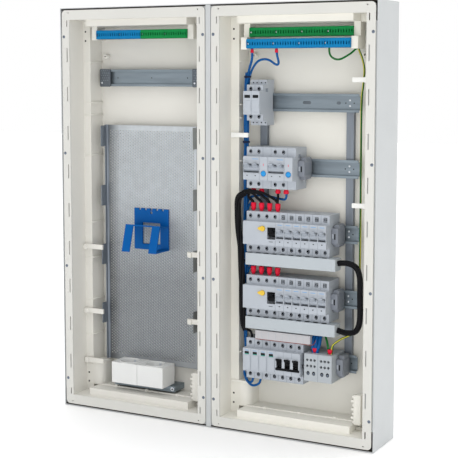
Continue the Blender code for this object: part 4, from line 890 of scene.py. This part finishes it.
def profile(row):
    """Front outline of a device in depth and height: shoulder, nose, shoulder, and a contactor's steps."""
    upper = [(shoulder_y, HALF_DEVICE), (shoulder_y, HALF_NOSE), (nose_y, HALF_NOSE)]
    if row == row_1:
        upper[:1] = [(rear_y, CONTACTOR_HALF), (rear_y, CONTACTOR_SHOULDER), (shoulder_y, CONTACTOR_SHOULDER)]
    return [(y, row + z) for y, z in upper] + [(y, row - z) for y, z in upper[::-1]]


seams = []
for row, modules in ((row_1, [1]), (row_2, [2, 5]), (row_5, [1, 2, 3, 5, 6]),
                     (row_3, range(5, 10)), (row_4, range(5, 10))):
    for x in devices_x + np.array(modules) * MODULE:
        seams += strip(profile(row), SEAM, "X", (x - SEAM, x + SEAM))
put_piece("module_seams", seams, seam_grey)
print("seam strips", len(seams) // 3)

# %% [markdown]
# A raised frame stands round each toggle's pocket. It is one pierced cell with a square hole. The main
# switch has a sill and dividing bars besides. The round test buttons get a domed cap that rides on the
# button, and a ring that stays on the body.

# %% Frames round the toggles
POCKET_HIGH = 0.0175


def toggle_frame(row, x, width, hole, up=0.0136, down=0.0100, proud=0.0006):
    """Raised panel with a square opening as large as the toggle's pocket."""
    cell = pierced_cell(width, up + down, hole, POCKET_HIGH, nose_y - proud, nose_y + 0.0002, square=True)
    cell[[0, 3], :, 2] += (up - down) / 2
    return cell + (x, 0, row)


main_x = poles[5]
grey_frames = [toggle_frame(row, x, MODULE - 0.0003, 0.0156) for row, x in breakers]
grey_frames += [toggle_frame(row_2, x, 2 * MODULE - 0.0006, 0.0331) for x in poles[[0, 3]] + MODULE / 2]
put_piece("grey_toggle_frames", grey_frames, frame_grey)
dark_frames = [toggle_frame(row, poles[3], MODULE - 0.0008, 0.0156, 0.0125, 0.0102) for row in (row_3, row_4)]
dark_frames.append(panel(main_x, row_5 - 0.0111, 0.0504, 0.0050, nose_y - 0.0016, nose_y + 0.0002,
                         0.0010, 0.0006))
dark_frames.append(panel(main_x, row_5 - 0.0086, 0.0504, 0.0006, nose_y + 0.0001, nose_y + 0.0118,
                         0.0003, 0.0002))
light_frame = [toggle_frame(row_5, main_x, 3 * MODULE - 0.0010, 0.0506, 0.0112, 0.0130, 0.0005)]
light_frame += [panel(main_x + shift, row_5, wide, 0.0184, nose_y - 0.0009, nose_y - 0.0001, 0.0004, 0.0003)
                for shift, wide in ((-0.0244, 0.0024), (-0.00875, 0.0061), (0.00875, 0.0061),
                                    (0.0244, 0.0024))]
put_piece("main_switch_frame", light_frame, device_grey)
put_piece("black_toggle_frames", dark_frames, toggle_black)
DOME = [(0, -0.0027), (0.0022, -0.0026), (0.0040, -0.0021), (0.0051, -0.0012), (0.0055, 0.0002),
        (0.0055, 0.0050), (0, 0.0050)]
BUTTON_RING = [(0.0059, 0.0002), (0.0059, -0.0006), (0.0068, -0.0006), (0.0072, 0.0002)]
for number in (1, 2):
    node = f"rcbo_{number}_test_button"
    middle = middle_of(node) * (1, 0, 1) + (0, nose_y, 0)
    put_piece(f"rcbo_{number}_button_dome", [lathe(DOME, middle, "Y", 28)], button_blue,
              body=node, replaces=[node])
    put_piece(f"rcbo_{number}_button_ring", [lathe(BUTTON_RING, middle, "Y", 28)], frame_grey)
print("toggle frames", len(grey_frames) + len(dark_frames))

# %% [markdown]
# Device faces carry flags, signal windows and printed lines. They are thin rounded plates here, and the
# lines are plain ones that spell nothing. The contactor and the surge arrester have raised panels.

# %% Small marks and windows
def tab(x, z, wide, high, proud=0.00025, face=nose_y):
    """Thin rounded plate on a device face, standing proud of it by a little."""
    return panel(x, z, wide, high, face - proud, face + 0.0003, min(wide, high) * 0.3, proud * 0.6)


put_piece("trip_marks", [tab(x, row_2 + 0.0072, 0.0010, 0.0046) for x in poles[[2, 5]]], ferrule_red)
flags = [tab(x, row - 0.0142, 0.0026, 0.0019) for row, x in breakers]
flags += [tab(x, row_2 - 0.0142, 0.0024, 0.0018) for x in poles[[0, 1, 3, 4]]]
flags += [tab(poles[3] - 0.001, row - 0.0152, 0.0085, 0.0009) for row in (row_3, row_4)]
flags += [tab(devices_x + 7 * MODULE + 0.0033, row_5 - 0.001, 0.0016, 0.0070, 0.0004, nose_y + 0.004)]
put_piece("state_flags", flags, hole_shade_and_dark_marks)
lines = [tab(x, row + 0.0183, 0.0100, 0.0011) for row, x in breakers]
lines += [tab(x, row_2 + 0.0180, 0.0130, 0.0011) for x in poles[[1, 4]]]
lines += [tab(x, row_5 + 0.0185, 0.0085, 0.0010) for x in poles[:4]]
put_piece("plain_mark_lines", lines, mark_blue)
glass = [panel(x, row_1 + 0.0123, 0.0120, 0.0056, nose_y + 0.0001, nose_y + 0.0012, 0.0012, 0.0003)
         for x in poles[:2]]
glass += [panel(x, row_5 + 0.0142, 0.0092, 0.0044, nose_y - 0.0003, nose_y + 0.0012, 0.0008, 0.0002)
          for x in poles[:4]]
put_piece("dark_windows", glass, window_dark)
put_piece("window_edges", [tab(x, row_5 + 0.0113, 0.0096, 0.0013) for x in poles[:4]], window_green)
cartridges = [panel(x, row_5 - 0.0050, 0.0148, 0.0290, nose_y - 0.0010, nose_y + 0.0004, 0.0030, 0.0009)
              for x in poles[:4]]
put_piece("arrester_cartridges", cartridges, device_grey)
PIN_DOT = [(0, -0.00015), (0.0013, -0.00015), (0.0016, 0.0003), (0, 0.0003)]
pins_at = [(devices_x + shift, rear_y, row_1 + level) for level in (-0.0388, 0.0382)
           for shift in (0.0062, 0.0140, 0.0235, 0.0320)]
put_piece("contactor_pins", [turned(PIN_DOT, pins_at)], hole_shade_and_dark_marks)
VENT_PITCH = 0.0026
vents = [block((side_x - 0.0004, -0.0665 + VENT_PITCH * k, row + 0.0205),
               (side_x + 0.0002, -0.0650 + VENT_PITCH * k, row + 0.0275), 0.0004, 0.0002, "X")
         for side_x, row in ((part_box("contactor")[1].x, row_1), (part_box("rcbo_2")[1].x, row_2))
         for k in range(4)]
put_piece("side_vents", vents, steel_screw)
ribs = [panel(x, row_1 - 0.0065, 0.0150, 0.0220, nose_y - 0.0007, nose_y + 0.0003, 0.0020, 0.0006)
        for x in poles[:2]]
put_piece("contactor_panels", ribs, device_grey)
print("marks", len(flags) + len(lines) + len(vents))

# %% [markdown]
# Each of the two feed terminals has two clamp screws low on its front, each on a dark disc of painted shade
# that stands for its cup, and two rows of three small openings over them, lined with painted shade. The
# screws' slots are painted shade too. A fine gap parts the two terminals.

# %% Feed terminals
FEED_SCREW = [(0, -0.0004), (0.0020, -0.0004), (0.0024, 0.0000), (0.0025, 0.0010), (0, 0.0010)]
FEED_RIM = [(0.0017, 0.0040), (0.0017, -0.0001), (0.0023, -0.0002), (0.0026, 0.0004)]
FEED_FLOOR = [(0, 0.0070), (0.0016, 0.0070), (0.0017, 0.0030)]
SCREW_CUP = [(0, -0.0001), (0.0032, -0.0001), (0.0035, 0.0003)]
feed_low, feed_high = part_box("feed_terminals")
feed_front = feed_low.y
feed_width = (feed_high.x - feed_low.x) / 2
feed_middles = feed_low.x + np.array([0.5, 1.5]) * feed_width
feed_screws = [(x + shift, feed_front, row_5 - 0.0135) for x in feed_middles for shift in (-0.0058, 0.0058)]
feed_holes = [(x + shift, feed_front, row_5 + z) for x in feed_middles for shift in (-0.0075, 0, 0.0075)
              for z in (0.013, 0.0015)]
put_piece("feed_screws", [turned(FEED_SCREW, feed_screws)], steel_screw)
slot_cut = panel(0, 0, 0.0038, 0.0008, -0.0006, 0.0002, 0.0002, 0.0001)
screw_cup = lathe(SCREW_CUP, (0, 0, 0.0008)) * (1.0, 1.0, 1.25)
put_piece("feed_openings", [turned(FEED_RIM, feed_holes), turned(FEED_FLOOR, feed_holes),
                            copies(slot_cut, feed_screws), copies(screw_cup, feed_screws)], hole_shade_and_dark_marks)
split = feed_low.x + feed_width
put_piece("feed_split", [block((split - 0.0004, feed_front - 0.0002, feed_low.z),
                               (split + 0.0004, feed_front + 0.002, feed_high.z), 0.0002, 0.0001)], seam_grey)
print("feed openings", len(feed_holes))

# %% [markdown]
# The busbars of rows three and four are hidden under grey covers with a cap at the right end and dark
# pins on top. The fifth row's comb has fine lines across its front and a brown edge that runs out as a
# short wire.

# %% Busbar covers and comb
caps, pins = [], []
for row in (3, 4):
    low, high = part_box(f"busbar_cover_{row}")
    caps.append(block((high.x - 0.0100, low.y - 0.0004, low.z + 0.0006),
                      (high.x - 0.0002, high.y, high.z - 0.0006), 0.0020, 0.0008))
    pins += [block((x - 0.0048, low.y + 0.0030, high.z - 0.0012),
                   (x + 0.0048, low.y + 0.0105, high.z + 0.00025), 0.0006, 0.0002) for x in poles + 0.0005]
put_piece("cover_end_caps", caps, cover_grey)
put_piece("busbar_pins", pins, hole_shade_and_dark_marks)
comb_low, comb_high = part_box("comb_busbar")
comb_end, comb_y, comb_z = comb_high.x, comb_low.y, comb_low.z
comb_lines = [block((x - 0.0003, comb_y - 0.0002, comb_z + 0.002),
                    (x + 0.0003, comb_y + 0.0004, comb_high.z - 0.001), 0.0002, 0.0001)
              for x in np.linspace(comb_low.x, comb_end, 9)[1:-1]]
put_piece("comb_lines", comb_lines, frame_grey)
comb_tail = [(comb_end - 0.004, comb_y - 0.0003, comb_z + 0.0006),
             (comb_end + 0.004, comb_y - 0.0003, comb_z + 0.0010),
             (comb_end + 0.009, comb_y + 0.001, comb_z + 0.0045),
             (comb_end + 0.0105, comb_y + 0.004, comb_z + 0.0100)]
comb_bar = block((comb_low.x + 0.0005, comb_y - 0.0004, comb_z), (comb_end, comb_y + 0.0010, comb_z + 0.0013),
                 0.0004, 0.0002)
put_piece("comb_edge", [comb_bar, wire(comb_tail, 0.0007, 8)], line_brown)
print("pins", len(pins))

# %% [markdown]
# An end stop clamps each row of devices on its rail. It is a grey moulded block with rounded edges, a slot
# for the clamp screw drawn as a dark panel of painted shade, and a small blank label field.

# %% End stops
STOP_WIDE = 0.0135
STOP_GAP = 0.0004
STOP_FRONT = -0.0705
stop_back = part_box("rail_1")[0].y - 0.0002
stops, stop_slots, stop_labels = [], [], []
for start, row in ((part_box("rcbo_2")[1].x, row_2), (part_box("mcb_bank_3")[1].x, row_3),
                   (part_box("mcb_bank_4")[1].x, row_4), (feed_high.x, row_5)):
    x = start + STOP_GAP + STOP_WIDE / 2
    stops.append(panel(x, row, STOP_WIDE, 0.0310, STOP_FRONT, stop_back, 0.0030, 0.0010))
    stops.append(panel(x, row, STOP_WIDE - 0.002, 0.0430, STOP_FRONT + 0.008, stop_back, 0.0030, 0.0010))
    stop_slots.append(panel(x + 0.0005, row - 0.0005, 0.0025, 0.0110, STOP_FRONT - 0.0002,
                            STOP_FRONT + 0.0008, 0.0008, 0.0001))
    stop_labels.append(panel(x - 0.0039, row + 0.00025, 0.0027, 0.0085, STOP_FRONT - 0.0003,
                             STOP_FRONT + 0.0008, 0.0005, 0.0001))
put_piece("end_stops", stops, stop_grey)
put_piece("end_stop_slots", stop_slots, hole_shade_and_dark_marks)
put_piece("end_stop_labels", stop_labels, frame_grey)
print("end stops", len(stop_slots))

# %% [markdown]
# Bright rivets hold each rail to the two uprights. Small holes and slots show between the devices as dark
# discs and bars of painted shade, and the left field's rail ends in two dark brackets with rows of fine
# holes.

# %% Rail rivets, slots and brackets
RIVET = [(0, -0.0012), (0.0012, -0.0011), (0.0019, -0.0006), (0.0021, 0.0002), (0, 0.0002)]
DOT = [(0, -0.00012), (0.0012, -0.00012), (0.0014, 0.0003), (0, 0.0003)]
BRACKET_HALF = 0.01325
web_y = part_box("rail_1")[1].y - 0.001
uprights = [middle_of(name)[0] for name in ("upright_left", "upright_right")]
rivets = [(x, web_y, row + s * 0.0055) for x in uprights for row in rows for s in (-1, 1)]
put_piece("rail_rivets", [turned(RIVET, rivets)], bright_zinc)
left_low, left_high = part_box("left_rail")
left_mid, _, left_z = middle_of("left_rail")
dots = [(x + s * 0.0085, web_y, row) for x in uprights for row in rows for s in (-1, 1)]
dots += [(left_mid + shift, web_y, left_z) for shift in (-0.085, -0.002, 0.083)]
slot_bars = [panel(x, row_1, wide, 0.0060, web_y - 0.00015, web_y + 0.0003, 0.0029, 0.0001)
             for x, wide in ((0.17325, 0.0175), (0.23925, 0.0085))]
put_piece("rail_holes", [turned(DOT, dots)], hole_shade_and_dark_marks)
put_piece("rail_slots", slot_bars, dark_zinc)
brackets, bracket_dots, bracket_holes = [], [], []
face_y = left_low.y - 0.0018
for x in (left_low.x + BRACKET_HALF, left_high.x - BRACKET_HALF):
    brackets.append(panel(x, left_z, 2 * BRACKET_HALF, 0.0370, face_y, left_low.y - 0.0002, 0.0020, 0.0005))
    bracket_dots += [(x - BRACKET_HALF + 0.0055, face_y, left_z - 0.0105)]
    bracket_holes += [(x - BRACKET_HALF + 0.0045 + 0.0052 * i + 0.0026 * (j % 2), face_y,
                       left_z - 0.0050 + 0.0050 * j) for i in range(4) for j in range(5)]
put_piece("left_rail_brackets", brackets, dark_zinc)
put_piece("bracket_rivets", [turned(RIVET, bracket_dots)], bright_zinc)
put_piece("bracket_holes", [turned(np.array(DOT) * (0.75, 1.0), bracket_holes)], seam_grey)
print("rivets", len(rivets) + len(bracket_dots))

# %% [markdown]
# The tubs carry small parts that the CAD leaves out. The first are screws with low heads round the flange,
# a dark strip of painted shade in the shadow gap at the upper and lower edge of the front, and dark discs of
# painted shade where the ledge has blind holes.

# %% Flange screws, painted shadow gap and ledge holes
HEAD = [(0, -0.0007), (0.0017, -0.0006), (0.0030, -0.0002), (0.0034, 0.0004), (0, 0.0004)]
BLIND = [(0, -0.00012), (0.0019, -0.00012), (0.0023, 0.0003), (0, 0.0003)]
LEDGE_Y = -0.059
front_y = cad_low.y
tub_x = [middle_of(name)[0] for name in ("left_tub", "right_tub")]
heads = [(x + s * 0.1635, front_y, z) for x in tub_x for s in (-1, 1)
         for z in (-0.3575, -0.118, 0.118, 0.3575)]
put_piece("flange_screws", [turned(HEAD, heads)], steel_screw)
# A dark strip of painted shade in the shadow gap above and below the flange.
gap_shade = [block((cad_low.x + 0.0030, front_y + 0.0012, z - 0.0011),
              (cad_high.x - 0.0030, front_y + 0.0052, z + 0.0011), 0.0008, 0.0005)
        for z in (cad_low.z + 0.0029, cad_high.z - 0.0029)]
put_piece("painted_shadow_gap", gap_shade, gap_shade_dark)
# The ledge's blind holes are dark discs of painted shade.
blind = [(x + s * 0.1445, LEDGE_Y, z) for x in tub_x for s in (-1, 1)
         for z in (0.3690, 0.3500, -0.3545, -0.3735)]
put_piece("ledge_holes", [turned(BLIND, blind)], hole_shade_and_dark_marks)
print("flange screws", len(heads), "ledge holes", len(blind))

# %% [markdown]
# Stiffening ribs stand on the tubs' side walls and run out over the ledges, except over the left ledge of
# the right tub, where the wires lie. Hollow bosses stand on the rear walls.

# %% Ribs and bosses
FLOOR_Y = -0.016
REAR_HALF = 0.133
RIB_THICK = 0.0020
RIB_LEVELS = (0.306, 0.222, 0.196, 0.112, -0.030, -0.105, -0.195, -0.270, -0.335)
BOSS = [(0, 0.0003), (0.0055, 0.0003), (0.0050, -0.0120), (0.0046, -0.0128), (0.0022, -0.0128),
        (0.0020, -0.0060), (0, -0.0060)]
wall_ribs = []
for x, s in ((x, s) for x in tub_x for s in (-1, 1)):
    wall = x + s * REAR_HALF
    for z in RIB_LEVELS:
        wall_ribs.append(panel(wall - s * 0.0015, z, 0.0040, RIB_THICK, LEDGE_Y + 0.002, FLOOR_Y - 0.001,
                               0.0006, 0.0004))
        if (x, s) != (tub_x[1], -1):
            wall_ribs.append(panel(wall + s * 0.00925, z, 0.0145, RIB_THICK, LEDGE_Y - 0.0012,
                                   LEDGE_Y + 0.0005, 0.0006, 0.0004))
bosses = [(x + s * 0.1165, FLOOR_Y, 0.318) for x in tub_x for s in (-1, 1)]
put_piece("tub_ribs", wall_ribs, cream)
put_piece("tub_bosses", [turned(BOSS, bosses, "Y", 18)], cream)
print("tub ribs", len(wall_ribs), "bosses", len(bosses))

# %% [markdown]
# Beside each lower insert a toothed comb takes the cables in, and a rounded corner with a lid closes the
# other side. Short fingers hold cables back on the left tub's walls, and a lip with three stops runs
# along the top of each insert. All of it is moulded with the tub.

# %% Cable combs, fingers and insert lips
TEETH = 7
TOOTH_PITCH = 0.0080
FINGER_FRONT = -0.0665
insert_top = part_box("left_tub")[0].z + 0.0342
combs = []
for x in tub_x:
    wall, corner = x + REAR_HALF, x - REAR_HALF
    combs.append(panel(wall - 0.00675, -0.34975, 0.0145, 0.0575, -0.0755, LEDGE_Y + 0.0005, 0.0020, 0.0010))
    for k in range(TEETH):
        z = -0.3735 + TOOTH_PITCH * k
        reach = 0.0195 if k % 2 else 0.0170
        combs.append(block((wall - reach, -0.0745, z - 0.0024), (wall - 0.0100, -0.0640, z + 0.0024),
                           0.0012, 0.0008))
    combs.append(block((corner - 0.0120, LEDGE_Y - 0.0004, -0.3790),
                       (corner + 0.0240, FLOOR_Y + 0.0100, -0.3270), 0.0150, 0.0015, "Z", 6))
    combs.append(panel(corner + 0.0030, -0.32875, 0.0390, 0.0045, LEDGE_Y - 0.0030, LEDGE_Y + 0.0020,
                       0.0010, 0.0008))
for x, levels in ((-0.31985, (-0.081, -0.218, -0.325)), (-0.06585, (-0.081, -0.218))):
    combs += [panel(x, z - 0.0009, 0.0097, 0.0110, FINGER_FRONT - 0.0030, FINGER_FRONT + 0.0030,
                    0.0028, 0.0018) for z in levels]
for x in tub_x:
    combs.append(panel(x, insert_top + 0.0006, 0.2300, 0.0032, -0.0600, -0.0575, 0.0008, 0.0006))
    combs += [panel(x + shift, insert_top + 0.0016, 0.0060, 0.0052, -0.0625, -0.0560, 0.0012, 0.0008)
              for shift in (-0.075, 0.0, 0.075)]
put_piece("cable_combs", combs, cream)
print("comb pieces", len(combs))

# %% [markdown]
# Each socket outlet has a rim round its well, two pin holes in the well's floor, drawn as dark discs of
# painted shade, and two earth clips of bright metal at its sides. The socket rail ends in an eye, whose
# hole is a dark disc of painted shade.

# %% Socket details
SOCKET_RIM = [(0.0197, -0.002), (0.0197, 0.0004), (0.0203, 0.0010), (0.0212, 0.0010), (0.0218, 0.0002),
              (0.0218, -0.001)]
PIN_HOLE = [(0, 0.0001), (0.0022, 0.0001), (0.0025, 0.0004), (0.0030, 0.0004), (0.0032, -0.0004)]
EYE = [(0.0019, 0.0006), (0.0019, -0.0004), (0.0040, -0.0004), (0.0043, 0.0003)]
EYE_HOLE = [(0, -0.0001), (0.0019, -0.0001), (0.0021, 0.0003)]
rims, pin_holes, earth_clips = [], [], []
for name in ("socket_1", "socket_2"):
    x, y, _ = middle_of(name)
    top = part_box(name)[1].z
    rims.append(lathe(SOCKET_RIM, (x, y, top), "Z", 40))
    for s in (-1, 1):
        clip_y = y + s * 0.0178
        pin_holes.append(lathe(PIN_HOLE, (x + s * 0.0095, y, top - 0.0120), "Z", 16))
        earth_clips.append(panel(x, top - 0.0070, 0.0044, 0.0090, clip_y - 0.0012, clip_y + 0.0012,
                                 0.0006, 0.0004))
put_piece("socket_rims", rims, socket_white)
put_piece("socket_pin_holes", pin_holes, hole_shade_and_dark_marks)
put_piece("socket_earth_clips", earth_clips, bright_zinc)
rail_low, rail_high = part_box("socket_rail")
end_hole = (rail_high.x - 0.0058, rail_low.y, middle_of("socket_rail")[2])
put_piece("socket_rail_eye", [lathe(EYE, end_hole)], bright_zinc)
put_piece("socket_rail_hole", [lathe(EYE_HOLE, end_hole)], hole_shade_and_dark_marks)
print("socket parts", len(rims) + len(pin_holes) + len(earth_clips))

# %% [markdown]
# Studio light: a large soft box at the right front, a weaker one at the left, a low one for what the floor
# throws back, and a pale room round them. The room is white behind the board and over half as bright
# behind the camera, because broad light from the front reaches into the tubs without hard shadows. The
# floor is a plain pale sheet and isn't part of the object.

# %% Light and floor
ROOM_DEPTH = (-0.2, 0.3, 0.62, 1.0)
CEILING = (0.35, 0.9, 0.0, 1.0)
FLOOR_DROP = 0.0006


def soft_box(name, place, aim, size, power):
    """Square area light that looks from its place to its aim."""
    data = bpy.data.lights.new(name, "AREA")
    data.size = size
    data.energy = power
    made = bpy.data.objects.new(name, data)
    made.location = place
    direction = np.array(aim) - np.array(place)
    flat = math.hypot(direction[0], direction[1])
    made.rotation_euler = (math.atan2(flat, -direction[2]), 0.0, math.atan2(-direction[0], direction[1]))
    scene.collection.objects.link(made)
    return made


soft_box("key_light", (2.0, -2.7, 0.1), (0, 0, 0), 2.2, 15.0)
soft_box("fill_light", (-1.4, -3.0, -0.2), (0, 0, 0), 2.4, 6.0)
soft_box("bounce_light", (0.8, -1.6, -0.38), (0.05, 0, -0.36), 1.2, 5.0)
room = bpy.data.worlds.new("room")
room.use_nodes = True
room_tree = room.node_tree
sky = room_tree.nodes["Background"]
sky.inputs["Color"].default_value = (1.0, 1.0, 1.0, 1.0)
direction = add_node(room_tree, "TexCoord").outputs["Generated"]
both = add_node(room_tree, "Math")
room_tree.links.new(axis_share(room_tree, direction, "Y", *ROOM_DEPTH), both.inputs[0])
room_tree.links.new(axis_share(room_tree, direction, "Z", *CEILING), both.inputs[1])
room_tree.links.new(both.outputs["Value"], sky.inputs["Strength"])
scene.world = room
reach = np.linspace(-9, 9, 13)
across, along = np.meshgrid(reach, reach)
floor_paper = finish("floor_paper", (250, 250, 250), 0.8, spread=0.01, drift=1.0, grain=0.02)
floor = put_piece("floor", [lay(across, along, cad_low.z - FLOOR_DROP, "Z")], floor_paper, body=None)
print("lights", len(bpy.data.lights))
